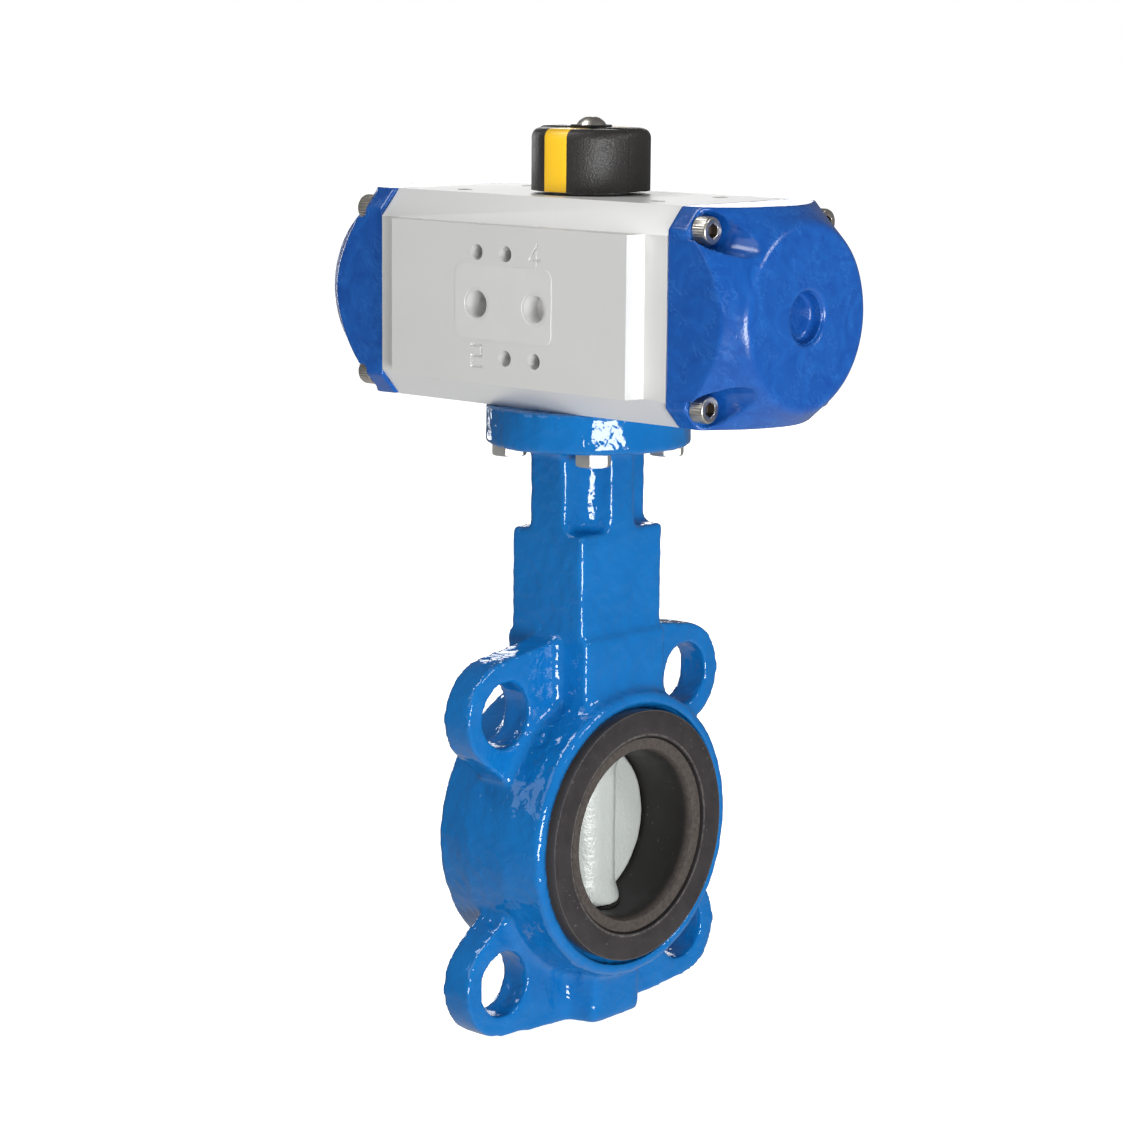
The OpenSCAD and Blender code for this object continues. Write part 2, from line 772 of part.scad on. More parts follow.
module blank_label() {
    w = label_len / 2 - label_round;
    h = label_h / 2 - label_round;
    ease = 0.8;
    color([0.8, 0.81, 0.82])
    difference() {
        translate([label_shift_x, -pad_y - label_t, axis_z + label_shift_z]) {
            translate([-w - label_round, 0, -h]) cube([2 * (w + label_round), label_t, 2 * h]);
            translate([-w, 0, -h - label_round]) cube([2 * w, label_t, 2 * (h + label_round)]);
            for (sx = [-1, 1], sz = [-1, 1]) translate([sx * w, 0, sz * h])
                rotate([-90, 0, 0]) cylinder(r = label_round, h = label_t);
        }
        for (side = [-1, 1]) into_pad(side * port_at, 0, port_d / 2 + ease, pad_t);
    }
}

// End caps and what holds them, made for the right end and turned round for the left
module cap_section() {
    cut_corner_section(act_w, act_h, cap_cut_y, cap_cut_z);
}

module cap_gasket() {
    inner = act_w - 2 * gasket_inset;
    difference() {
        translate([cap_x + gasket_t / 2, 0, axis_z]) plate_across(gasket_t)
            cut_corner_section(inner, act_h - 2 * gasket_inset, act_cut_y, act_cut_z);
        translate([0, 0, axis_z]) along_x(0) cylinder(r = cyl_r + free_gap, h = 2 * cap_x);
        at_cap_screws(0) cylinder(r = cap_screw_d / 2 + bolt_gap, h = 2 * cap_x);
        translate([0, channel_y, axis_z + channel_z]) along_x(0)
            cylinder(r = channel_d / 2, h = 2 * cap_x);
    }
}

// Outline of the cap that turns round the actuator's axis: a cone that rolls into a flat end
module cap_turned() {
    outer = act_w;
    mid = cone_r - cone_turn;
    low = [mid + cone_round * sin(cone_slope), cone_round * cos(cone_slope) - cone_round];
    skirt_z = low[1] - (outer - low[0]) * tan(cone_slope);
    rotate_extrude() union() {
        polygon([
            [0, skirt_z - cap_len], [outer, skirt_z - cap_len], [outer, skirt_z],
            low, [mid, 0], [0, 0],
        ]);
        intersection() {
            translate([mid, -cone_round]) circle(r = cone_round);
            translate([mid, -cone_round]) square([cone_round, cone_round]);
        }
    }
}

module end_cap() {
    inner = act_w - 2 * gasket_inset + 2 * seat_gap;
    difference() {
        intersection() {
            translate([cap_x + cap_len / 2, 0, axis_z]) plate_across(cap_len) cap_section();
            translate([cap_end_x, 0, axis_z]) rotate([0, 90, 0]) cap_turned();
        }
        translate([cap_x - past + (gasket_t + past) / 2, 0, axis_z])
            plate_across(gasket_t + past)
                cut_corner_section(inner, act_h - 2 * gasket_inset + 2 * seat_gap,
                                   act_cut_y, act_cut_z);
        translate([0, 0, axis_z]) {
            along_x(cap_x) cylinder(r = cap_cavity_r, h = cap_cavity_depth);
            along_x(cap_end_x - dish_depth) cylinder(r = dish_d / 2, h = dish_depth + past);
        }
        // air passage from the channel's end into the cap's hollow
        translate([cap_x, channel_y - channel_d / 2, axis_z + channel_z - channel_slot / 2])
            cube([cap_cavity_depth / 2, -channel_y, channel_slot]);
        at_cap_screws(cap_x - past)
            cylinder(r = cap_screw_d / 2 + bolt_gap, h = cap_screw_seat + 2 * past);
        at_cap_screws(cap_seat_x) cylinder(r = pocket_r, h = cap_len);
        for (sy = [-1, 1], sz = [-1, 1])
            translate([cap_seat_x, sy * cap_screw_y, axis_z + sz * cap_screw_z])
                rotate(a = pocket_lean, v = [0, sz * cap_screw_z, -sy * cap_screw_y])
                    rotate([0, 90, 0]) cylinder(r = pocket_r - pocket_step, h = cap_len);
    }
}

module end_cap_screws() {
    reach = 2.5;
    at_cap_screws(0) {
        difference() {
            translate([0, 0, cap_seat_x]) cylinder(r = cap_head_r, h = cap_head_h);
            translate([0, 0, cap_seat_x + cap_head_h - reach])
                cylinder(r = cap_hex / 2 / cos(30), h = reach + past, $fn = 6);
        }
        translate([0, 0, cap_x]) cylinder(r = cap_screw_d / 2, h = cap_screw_seat);
        translate([0, 0, cap_x - cap_thread_len])
            cylinder(r = thread_depth_ratio * cap_screw_d / 2, h = cap_thread_len);
    }
}

module other_end() {
    rotate([0, 0, 180]) children();
}

module cap_gasket_right() {
    color([0.1, 0.1, 0.1]) cap_gasket();
}

module cap_gasket_left() {
    color([0.1, 0.1, 0.1]) mirror([1, 0, 0]) cap_gasket();
}

module end_cap_right() {
    color([0.05, 0.18, 0.55]) end_cap();
}

module end_cap_left() {
    color([0.05, 0.18, 0.55]) mirror([1, 0, 0]) end_cap();
}

module end_cap_screws_right() {
    color([0.72, 0.7, 0.66]) end_cap_screws();
}

module end_cap_screws_left() {
    color([0.72, 0.7, 0.66]) mirror([1, 0, 0]) end_cap_screws();
}

// Pinion: toothed middle, a journal at each end, a square socket for the stem
module gear_outline() {
    steps = 6;
    flank_rs = [for (i = [0:steps]) base_r + (tip_r - base_r) * i / steps];
    rising = [for (r = flank_rs) r * [cos(flank_angle(r)), -sin(flank_angle(r))]];
    foot = root_r * [cos(flank_angle(base_r)), -sin(flank_angle(base_r))];
    falling = [for (i = [steps:-1:0]) [rising[i][0], -rising[i][1]]];
    tooth = concat([foot], rising, falling, [[foot[0], -foot[1]]]);
    polygon([for (i = [0:teeth - 1], p = tooth) turned(p, i * 360 / teeth)]);
}

module pinion() {
    gear_low = axis_z - gear_h / 2;
    gear_high = axis_z + gear_h / 2;
    journal_low = flange_z + 3 * shim;
    clip_groove_z = puck_z + seat_gap;
    color([0.6, 0.6, 0.62])
    difference() {
        union() {
            translate([0, 0, gear_low - past]) linear_extrude(height = gear_h + 2 * past)
                gear_outline();
            translate([0, 0, journal_low])
                cylinder(r = lower_journal_r, h = gear_low - journal_low);
            translate([0, 0, gear_high])
                cylinder(r = collar_r, h = upper_bearing_z - shim - gear_high);
            translate([0, 0, gear_high])
                cylinder(r = upper_journal_r, h = journal_top_z - gear_high);
            translate([0, 0, gear_high]) cylinder(r = stub_r, h = stub_top_z - gear_high);
        }
        square_bar(stem_square + 4 * run_gap, 2 * stem_r, flange_z - past, socket_len + past);
        translate([0, 0, lower_seal_z - seal_t])
            tube(lower_journal_r + past, lower_journal_r + bolt_gap - 2 * seal_t, 2 * seal_t);
        translate([0, 0, upper_seal_z - seal_t])
            tube(upper_journal_r + past, upper_journal_r + bolt_gap - 2 * seal_t, 2 * seal_t);
        translate([0, 0, clip_groove_z])
            tube(upper_journal_r + past, upper_journal_r - pinion_clip_deep, clip_t);
        translate([0, 0, puck_top_z + puck_washer_t - puck_screw_len - past])
            cylinder(r = puck_screw_d / 2, h = puck_screw_len);
    }
}

module journal_seal(journal_r, z) {
    outer = journal_r + bolt_gap - run_gap;
    inner = journal_r + bolt_gap - 2 * seal_t + seat_gap;
    color([0.08, 0.08, 0.08]) translate([0, 0, z])
        ring_seal((outer + inner) / 2, (outer - inner) / 2);
}

module pinion_lower_o_ring() {
    journal_seal(lower_journal_r, lower_seal_z);
}

module pinion_upper_o_ring() {
    journal_seal(upper_journal_r, upper_seal_z);
}

module pinion_lower_bearing() {
    color([0.85, 0.83, 0.76]) translate([0, 0, lower_bearing_z])
        tube(lower_journal_r + bearing_wall, lower_journal_r + run_gap, lower_bearing_h);
}

module pinion_upper_bearing() {
    color([0.85, 0.83, 0.76]) translate([0, 0, upper_bearing_z])
        tube(upper_bearing_r, upper_journal_r + run_gap, upper_bearing_h);
}

module pinion_washer() {
    color([0.75, 0.75, 0.77]) translate([0, 0, act_top_z])
        tube(washer_r, upper_journal_r + bolt_gap, washer_t);
}

module pinion_circlip() {
    color([0.5, 0.5, 0.52]) translate([0, 0, puck_z + 2 * seat_gap])
        tube(pinion_clip_r, upper_journal_r - pinion_clip_deep + seat_gap, clip_t - 2 * seat_gap);
}

// Pistons, made for the right end: a sealed head and a rack that runs past the pinion
module rack_outline() {
    half_tip = tooth_pitch / 4 - backlash / 4 - addendum * flank_slope;
    half_root = tooth_pitch / 4 - backlash / 4 + dedendum * flank_slope;
    tooth_y = [-pitch_r - dedendum, -pitch_r + addendum];
    centres = [for (k = [-teeth_behind:teeth_ahead - 1]) (k + 0.5) * tooth_pitch];
    zigzag = [for (c = centres)
        each [[c - half_root, tooth_y[0]], [c - half_tip, tooth_y[1]],
              [c + half_tip, tooth_y[1]], [c + half_root, tooth_y[0]]]];
    polygon(concat(
        [[head_in_x + past, -cyl_r], [rack_end_x, -cyl_r], [rack_end_x, tooth_y[0]]],
        zigzag, [[head_in_x + past, tooth_y[0]]]));
}

module guide_pocket(grow) {
    translate([-guide_len - grow, -cyl_r, axis_z - guide_h / 2 - grow])
        cube([guide_len + 2 * grow, guide_t + grow, guide_h + 2 * grow]);
}

module piston() {
    band_x = head_in_x + side_land;
    seal_x = head_out_x - side_land - 2 * piston_seal_t;
    color([0.66, 0.67, 0.69])
    difference() {
        union() {
            translate([0, 0, axis_z]) along_x(head_in_x) cylinder(r = piston_r, h = head_len);
            intersection() {
                translate([0, 0, axis_z - rack_h / 2]) linear_extrude(height = rack_h)
                    rack_outline();
                translate([0, 0, axis_z]) along_x(rack_end_x - past)
                    cylinder(r = rack_back_r, h = head_in_x - rack_end_x + 3 * past);
            }
        }
        translate([0, 0, axis_z]) {
            along_x(band_x) tube(cyl_r + past, running_r - band_t - seat_gap, band_w);
            along_x(seal_x) tube(cyl_r + past, running_r - 2 * piston_seal_t - seat_gap,
                                 2 * piston_seal_t);
            along_x(head_out_x - head_len / 2) cylinder(r = cyl_r / 2, h = head_len);
        }
        guide_pocket(seat_gap);
    }
}

module piston_o_ring() {
    x = head_out_x - side_land - piston_seal_t;
    color([0.08, 0.08, 0.08]) translate([0, 0, axis_z]) along_x(x)
        ring_seal(running_r - piston_seal_t, piston_seal_t - seat_gap);
}

module piston_guide_band() {
    color([0.25, 0.25, 0.27]) translate([0, 0, axis_z])
        along_x(head_in_x + side_land + seat_gap)
            tube(running_r, running_r - band_t, band_w - 2 * seat_gap);
}

// Slide pad let into the back of the rack, which bears on the cylinder wall
module rack_guide() {
    color([0.85, 0.83, 0.76])
    intersection() {
        guide_pocket(-seat_gap);
        translate([0, 0, axis_z]) along_x(-guide_len - past)
            cylinder(r = running_r, h = guide_len + 2 * past);
    }
}

module piston_right() {
    piston();
}

module piston_left() {
    other_end() piston();
}

module piston_o_ring_right() {
    piston_o_ring();
}

module piston_o_ring_left() {
    other_end() piston_o_ring();
}

module piston_guide_band_right() {
    piston_guide_band();
}

module piston_guide_band_left() {
    other_end() piston_guide_band();
}

module rack_guide_right() {
    rack_guide();
}

module rack_guide_left() {
    other_end() rack_guide();
}

// Indicator: a cap with a rounded top edge on the pinion's stub
module puck_solid(shrink) {
    r = puck_r - shrink;
    h = puck_h - shrink;
    translate([0, 0, puck_z]) rotate_extrude() {
        square([r, h - puck_round]);
        square([r - puck_round, h]);
        translate([r - puck_round, h - puck_round]) intersection() {
            circle(r = puck_round);
            square([puck_round, puck_round]);
        }
    }
}

// The two ends of a stripe across the indicator, each from its lower edge to the middle
module stripe_solid(shrink, proud) {
    w = stripe_w + 2 * shrink;
    difference() {
        intersection() {
            translate([0, 0, proud]) puck_solid(0);
            block(w, 2 * (puck_r + past), puck_z - past, puck_top_z + past);
        }
        puck_solid(stripe_t + shrink);
        translate([0, 0, puck_z - past]) cylinder(r = puck_r - stripe_t - shrink, h = 2 * past);
        translate([0, 0, puck_z]) cylinder(r = puck_washer_r + land - shrink, h = puck_h + past);
    }
}

module indicator_body() {
    sleeve_r = max(stub_r + sleeve_wall, pinion_clip_r + 3 * free_gap);
    room = puck_h - puck_wall - stripe_t;
    color([0.06, 0.06, 0.07])
    rotate([0, 0, puck_turn]) difference() {
        puck_solid(0);
        for (a = [0, 90]) rotate([0, 0, a]) stripe_solid(seat_gap, 0);
        translate([0, 0, puck_z - past]) {
            cylinder(r = pinion_clip_r + free_gap, h = clip_t + free_gap + past);
            cylinder(r = upper_journal_r + free_gap, h = journal_top_z - puck_z + free_gap + past);
            cylinder(r = stub_r + seat_gap, h = stub_top_z - puck_z + shim + past);
            cylinder(r = puck_screw_d / 2 + bolt_gap, h = puck_h + 2 * past);
            tube(puck_r - puck_wall - stripe_t, sleeve_r, room + past);
        }
    }
}

module indicator_yellow_stripes() {
    color([0.95, 0.7, 0.05]) rotate([0, 0, puck_turn]) stripe_solid(0, 0);
}

module indicator_black_stripes() {
    color([0.1, 0.1, 0.11]) rotate([0, 0, puck_turn + 90]) stripe_solid(0, stripe_proud);
}

module indicator_washer() {
    color([0.1, 0.1, 0.1]) translate([0, 0, puck_top_z])
        tube(puck_washer_r, puck_screw_d / 2 + bolt_gap, puck_washer_t);
}

module indicator_screw() {
    head_z = puck_top_z + puck_washer_t;
    sphere_r = (pow(puck_head_r, 2) + pow(puck_head_h, 2)) / (2 * puck_head_h);
    hex_r = puck_screw_d / 3 / cos(30);
    hex_deep = 1.6;
    color([0.8, 0.8, 0.8])
    difference() {
        union() {
            intersection() {
                translate([0, 0, head_z + puck_head_h - sphere_r]) sphere(r = sphere_r);
                translate([0, 0, head_z]) cylinder(r = puck_head_r, h = puck_head_h);
            }
            translate([0, 0, head_z - puck_screw_len])
                cylinder(r = puck_screw_d / 2 - seat_gap, h = puck_screw_len);
        }
        translate([0, 0, head_z + puck_head_h - hex_deep])
            cylinder(r = hex_r, h = hex_deep + past, $fn = 6);
    }
}

valve_body();
seat_liner();
disc();
valve_stem();
upper_stem_bush();
middle_stem_bush();
lower_stem_bush();
stem_o_rings();
stem_circlip();
stem_cover_washer();
stem_retaining_ring();
centring_ring();
flange_bolts();
actuator_body();
blank_label();
cap_gasket_right();
cap_gasket_left();
end_cap_right();
end_cap_left();
end_cap_screws_right();
end_cap_screws_left();
pinion();
pinion_lower_bearing();
pinion_upper_bearing();
pinion_lower_o_ring();
pinion_upper_o_ring();
pinion_washer();
pinion_circlip();
piston_right();
piston_left();
piston_o_ring_right();
piston_o_ring_left();
piston_guide_band_right();
piston_guide_band_left();
rack_guide_right();
rack_guide_left();
indicator_body();
indicator_yellow_stripes();
indicator_black_stripes();
indicator_washer();
indicator_screw();
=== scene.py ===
# %% [markdown]
# A pneumatic butterfly valve, dressed for its photograph
#
# The solids come from the CAD part: an iron body with a rubber seat and a grey disc, and above
# it an actuator with two blue end caps. This notebook gives each one its finish and softens the
# forms that a foundry or a mould would soften. No solid is moved, and every new piece is in the
# place of the solid that it stands for.

import json
import math

import bmesh
import bpy
from mathutils import Matrix, Vector, noise

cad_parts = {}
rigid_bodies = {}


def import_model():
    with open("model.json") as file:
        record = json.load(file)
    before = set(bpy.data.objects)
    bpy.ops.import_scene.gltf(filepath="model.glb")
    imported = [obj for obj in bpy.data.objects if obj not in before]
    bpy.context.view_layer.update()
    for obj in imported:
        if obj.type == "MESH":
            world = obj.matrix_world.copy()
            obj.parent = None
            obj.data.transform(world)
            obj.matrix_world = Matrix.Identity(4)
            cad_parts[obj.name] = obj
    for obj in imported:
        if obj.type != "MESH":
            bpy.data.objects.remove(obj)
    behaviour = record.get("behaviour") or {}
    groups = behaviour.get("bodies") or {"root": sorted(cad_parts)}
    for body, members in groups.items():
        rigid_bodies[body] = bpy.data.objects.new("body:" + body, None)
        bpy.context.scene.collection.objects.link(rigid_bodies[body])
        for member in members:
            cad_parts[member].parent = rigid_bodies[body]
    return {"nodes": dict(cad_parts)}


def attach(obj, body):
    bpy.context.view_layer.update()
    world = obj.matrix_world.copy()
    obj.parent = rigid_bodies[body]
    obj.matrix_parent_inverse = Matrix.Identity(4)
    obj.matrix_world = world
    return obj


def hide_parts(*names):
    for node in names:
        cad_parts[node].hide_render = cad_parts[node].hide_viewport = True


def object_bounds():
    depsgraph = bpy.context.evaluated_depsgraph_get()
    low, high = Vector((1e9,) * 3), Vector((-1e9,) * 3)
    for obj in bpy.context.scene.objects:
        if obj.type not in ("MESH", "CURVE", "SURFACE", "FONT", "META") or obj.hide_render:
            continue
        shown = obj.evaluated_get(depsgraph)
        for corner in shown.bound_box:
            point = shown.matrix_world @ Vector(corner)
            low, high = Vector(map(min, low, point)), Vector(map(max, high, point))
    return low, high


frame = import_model()
cad_low, cad_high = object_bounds()
MM = 0.001
print("CAD box, mm:", [round((b - a) / MM, 1) for a, b in zip(cad_low, cad_high)])

# %% [markdown]
# Shader maths as expressions
#
# A material is a graph of small nodes. Wrapping a socket in a class lets the graph be written as
# ordinary sums, such as `1 - mask * 0.4`, and each operator adds the Math node that it needs.
# Colours never go through a Math node, which would turn them grey: they have a call of their own.

# %% A number that varies over a surface


class Field:
    """The output socket of a node, with operators that add Math nodes."""

    def __init__(self, finish, socket):
        self.finish = finish
        self.socket = socket

    def maths(self, operation, *values, clamp=False):
        node = self.finish.add("ShaderNodeMath", operation=operation, use_clamp=clamp)
        for slot, value in zip(node.inputs, values):
            self.finish.join(slot, value)
        return Field(self.finish, node.outputs[0])

    def __add__(self, other):
        return self.maths("ADD", self, other)

    def __sub__(self, other):
        return self.maths("SUBTRACT", self, other)

    def __mul__(self, other):
        return self.maths("MULTIPLY", self, other)

    def __rsub__(self, other):
        return self.maths("SUBTRACT", other, self)

    __radd__ = __add__
    __rmul__ = __mul__

    def over(self, edge, soft):
        """0 below the edge and 1 above it, with a soft step between."""
        return self.maths("MULTIPLY", self - (edge - soft / 2), 1 / soft, clamp=True)

    def near(self, centre, width):
        """1 where the field is at the centre, falling to 0 at the width."""
        away = self.maths("ABSOLUTE", self - centre)
        return 1 - self.maths("MULTIPLY", away, 1 / width, clamp=True)

    def root(self):
        return self.maths("SQRT", self)


print("fields add, subtract and multiply")

# %% [markdown]
# One call for every other node
#
# A finish is a material with the shader that ends it. Its `node` method takes any node type, the
# settings that must come first, and then a value or a link for each socket. The rest are short
# names for what the finishes here use again and again: noise at a real size, a blend of two
# colours, a bump of a real depth, a mask of the outer edges that carries painted edge highlights,
# and the distance from an axis for whatever was turned or moulded round. A Mix node has sockets of
# the same name for numbers, vectors and colours, so those for colours are found by their numbers.

# %% A material that is built from fields
MIX_FACTOR, MIX_LOW, MIX_HIGH, MIX_COLOUR = 0, 6, 7, 2


class Finish:
    """One material and the calls that add its nodes."""

    def __init__(self, name, slot=None):
        self.material = bpy.data.materials.new(name)
        self.material["record_slot"] = slot or name
        self.material.use_nodes = True
        self.tree = self.material.node_tree
        self.shader = self.tree.nodes["Principled BSDF"]

    def add(self, kind, **settings):
        made = self.tree.nodes.new(kind)
        for name, value in settings.items():
            setattr(made, name, value)
        return made

    def join(self, slot, value):
        if isinstance(value, Field):
            self.tree.links.new(value.socket, slot)
            return
        if isinstance(value, tuple) and slot.type == "RGBA":
            value = (*value, 1.0)
        slot.default_value = value

    def node(self, kind, settings=None, output=0, **sockets):
        """Any node: its type, its settings, then the values or links of its sockets.
        Output is the number or the name of the one that is used."""
        made = self.add(kind, **(settings or {}))
        for name, value in sockets.items():
            self.join(made.inputs[name.replace("_", " ")], value)
        return Field(self, made.outputs[output])

    def noise(self, size_mm, detail=2.0, roughness=0.5, stretch=(1, 1, 1), distortion=0.0):
        """Smooth noise with lumps about size_mm across, stretched where stretch is under 1."""
        here = self.node("ShaderNodeTexCoord", output="Object")
        place = self.node("ShaderNodeMapping", Vector=here, Scale=stretch)
        return self.node("ShaderNodeTexNoise", Vector=place, Scale=1 / (size_mm * MM),
                         Detail=detail, Roughness=roughness, Distortion=distortion)

    def blend(self, mask, low, high):
        """A colour that runs from low to high as the mask goes from 0 to 1."""
        made = self.add("ShaderNodeMix", data_type="RGBA")
        for number, value in ((MIX_FACTOR, mask), (MIX_LOW, low), (MIX_HIGH, high)):
            self.join(made.inputs[number], value)
        return Field(self, made.outputs[MIX_COLOUR])

    def bump(self, height, depth_mm, under=None):
        """The normal of a surface that is raised by height times depth_mm."""
        sockets = {"Height": height, "Distance": depth_mm * MM}
        if under is not None:
            sockets["Normal"] = under
        return self.node("ShaderNodeBump", **sockets)

    def edges(self, low, high):
        """1 along the outer edges and 0 on open faces, from how the surface bends."""
        bend = self.node("ShaderNodeNewGeometry", output="Pointiness")
        return bend.over((low + high) / 2, high - low)

    def from_axis(self, height_mm=0.0):
        """The distance from a line along X at this height, in metres."""
        place = self.add("ShaderNodeSeparateXYZ")
        self.join(place.inputs["Vector"], self.node("ShaderNodeTexCoord", output="Object"))
        across, up = (Field(self, place.outputs[name]) for name in ("Y", "Z"))
        up = up - height_mm * MM
        return (across * across + up * up).root()

    def set(self, **sockets):
        """Values or links for the sockets of the shader."""
        for name, value in sockets.items():
            self.join(self.shader.inputs[name.replace("_", " ")], value)
        return self.material


print("a finish adds nodes by type, settings and sockets")

# %% [markdown]
# Sky blue enamel on cast iron
#
# The valve body is painted thick and glossy over rough iron. Sprayed paint dries with orange
# peel, shallow dimples a few millimetres apart, and these break every highlight into flecks. The
# colour itself hardly changes, so two sizes of dimple in the bump do most of the work.

# %% The enamel
enamel = Finish("blue_enamel")
peel = enamel.noise(2.8, detail=1.2, distortion=0.6)
pits = enamel.noise(0.9, detail=2.0)
thin_paint = enamel.noise(16, detail=3.0).over(0.55, 0.5)
enamel_colour = enamel.blend(thin_paint, (0.0035, 0.131, 0.405), (0.006, 0.160, 0.475))
# Painted highlight: the outer edges, found from how the surface bends, are coloured a lighter blue.
enamel_colour = enamel.blend(enamel.edges(0.53, 0.62) * 0.35, enamel_colour, (0.018, 0.24, 0.58))
enamel_peel = enamel.bump(peel, 0.28)
blue_enamel = enamel.set(
    Base_Color=enamel_colour, Roughness=0.02 + pits * 0.06, IOR=1.5,
    Normal=enamel.bump(pits, 0.02, under=enamel_peel))
print("enamel:", len(enamel.tree.nodes), "nodes")

# %% [markdown]
# Ultramarine coating on the end caps
#
# The caps are die-cast and carry a thin, half matt coating. The photograph shows faint swirls in
# it, where the metal froze in flow marks, and feathery strokes where the coating ran over them.
# Warped noise gives the swirls, and a wave that is warped even more gives the strokes, whose
# direction then changes from place to place. The floor of the dish in the middle of each cap is
# left rough and dark, so it is found by its distance from the axis through both caps.

# %% The cap coating
CAP_AXIS_HEIGHT = 170.0
ROUGH_RADIUS = 6.6
coating = Finish("blue_cap_coating")
swirl = coating.noise(12, detail=4.0, roughness=0.62, distortion=2.4)
grain = coating.noise(0.7, detail=2.0)
here = coating.node("ShaderNodeTexCoord", output="Object")
feathers = coating.node(
    "ShaderNodeTexWave", {"bands_direction": "DIAGONAL"}, output="Fac", Vector=here, Scale=170.0,
    Distortion=22.0, Detail=4.0, Detail_Scale=0.5, Detail_Roughness=0.72)
feathers = feathers * coating.noise(6, detail=3.0).over(0.56, 0.25)
coating_colour = coating.blend(swirl.over(0.5, 0.45), (0.004, 0.062, 0.31), (0.010, 0.108, 0.43))
coating_colour = coating.blend(feathers * 0.28, coating_colour, (0.022, 0.155, 0.52))
# Painted highlight: the outer edges of the caps are coloured a lighter blue.
coating_colour = coating.blend(coating.edges(0.53, 0.6) * 0.4, coating_colour, (0.04, 0.18, 0.58))
coating_flow = coating.bump(feathers, 0.005, under=coating.bump(swirl, 0.14))
dish = 1 - coating.from_axis(CAP_AXIS_HEIGHT).over(ROUGH_RADIUS * MM, 1.2 * MM)
lumps = coating.noise(1.5, detail=2.0)
coating_colour = coating.blend(dish * (0.35 + lumps * 0.5), coating_colour, (0.003, 0.045, 0.22))
coating_rough = coating.bump(dish * lumps, 0.45, under=coating_flow)
blue_coating = coating.set(
    Base_Color=coating_colour, Roughness=0.19 + feathers * 0.18, IOR=1.5,
    Normal=coating.bump(grain, 0.010, under=coating_rough))
print("cap coating:", len(coating.tree.nodes), "nodes")

# %% [markdown]
# Anodised extrusion
#
# Aluminium that is pressed through a die keeps fine lines along its length, and anodising turns
# them satin. The lines are noise that is stretched more than a hundred times along X. They go
# into the roughness as well as the bump, so that the highlight itself is streaked.

# %% The anodised body
extrusion = Finish("anodised_body")
die_lines = extrusion.noise(0.5, detail=3.0, roughness=0.7, stretch=(0.008, 1, 1))
clouding = extrusion.noise(24, detail=2.0)
fine = extrusion.noise(0.25, detail=1.0)
anodised = extrusion.set(
    Base_Color=extrusion.blend(clouding, (0.74, 0.74, 0.73), (0.80, 0.80, 0.79)),
    Metallic=0.30, Roughness=0.38 + die_lines * 0.14,
    Normal=extrusion.bump(fine, 0.004, under=extrusion.bump(die_lines, 0.006)))
print("anodised body:", len(extrusion.tree.nodes), "nodes")

# %% [markdown]
# Rubber, dark and dusty
#
# The seat liner is moulded rubber, and what makes it look like rubber and not like black paint is
# how it changes across: nearly black in the bore, brown with dust in the mouth of the bore, a
# near-black line at the lip that is painted shade standing for a groove, with a line of dust
# beside it, and a dark grey face that ends in a glossier rim with a painted highlight line along
# it. These are rings, so each is found by its distance from the pipe's axis.

# %% The seat rubber and the black seal rubber
MOUTH_RADIUS, LIP_RADIUS, EDGE_RADIUS = 27.2, 31.7, 40.4
DUST_LINE = LIP_RADIUS + 0.9
seat = Finish("seat_rubber")
radius = seat.from_axis()
haze = seat.noise(9, detail=4.0, roughness=0.65)
dust = seat.noise(1.6, detail=4.0, roughness=0.75)
mouth_brown = seat.blend(dust.over(0.5, 0.5), (0.038, 0.031, 0.028), (0.105, 0.090, 0.080))
face_grey = seat.blend(haze.over(0.5, 0.6), (0.021, 0.018, 0.021), (0.046, 0.041, 0.042))
in_mouth = radius.over(MOUTH_RADIUS * MM, 0.8 * MM)
on_face = radius.over(LIP_RADIUS * MM, 0.3 * MM)
# Painted shade: a near-black line at the lip radius stands for the shade of a groove.
painted_groove_shade = radius.near(LIP_RADIUS * MM, 0.5 * MM)
dust_line = radius.near(DUST_LINE * MM, 0.5 * MM) * dust.over(0.5, 0.3)
# Painted highlight: a pale line round the outer edge of the liner's face.
painted_rim_highlight = radius.near(EDGE_RADIUS * MM, 0.35 * MM)
crumbs = seat.noise(1.2, detail=2.0).over(0.73, 0.04)
seat_colour = seat.blend(in_mouth, (0.011, 0.009, 0.009), mouth_brown)
seat_colour = seat.blend(on_face, seat_colour, face_grey)
# The painted shade of the groove goes in here.
seat_colour = seat.blend(painted_groove_shade, seat_colour, (0.004, 0.004, 0.004))
seat_colour = seat.blend(dust_line, seat_colour, (0.16, 0.145, 0.135))
# The painted highlight of the outer edge goes in here.
seat_colour = seat.blend(painted_rim_highlight * 0.45, seat_colour, (0.15, 0.14, 0.13))
seat_colour = seat.blend(crumbs * 0.5, seat_colour, (0.22, 0.20, 0.19))
glossy_rim = radius.near(EDGE_RADIUS * MM, 0.8 * MM)
seat_rubber = seat.set(
    Base_Color=seat_colour, IOR=1.45, Roughness=0.34 + haze * 0.24 - glossy_rim * 0.3,
    Normal=seat.bump(dust, 0.03))

seal = Finish("seal_rubber")
seal_haze = seal.noise(6, detail=3.0)
seal_rubber = seal.set(
    Base_Color=seal.blend(seal_haze, (0.010, 0.010, 0.010), (0.026, 0.026, 0.026)),
    Roughness=0.50 + seal_haze * 0.15, IOR=1.45, Normal=seal.bump(seal.noise(0.5), 0.01))
print("two rubbers")

# %% [markdown]
# Grey disc coating
#
# The disc is coated like the body but in light grey. It was cast and coated without machining
# between, so it shows the same orange peel, only finer and less glossy.

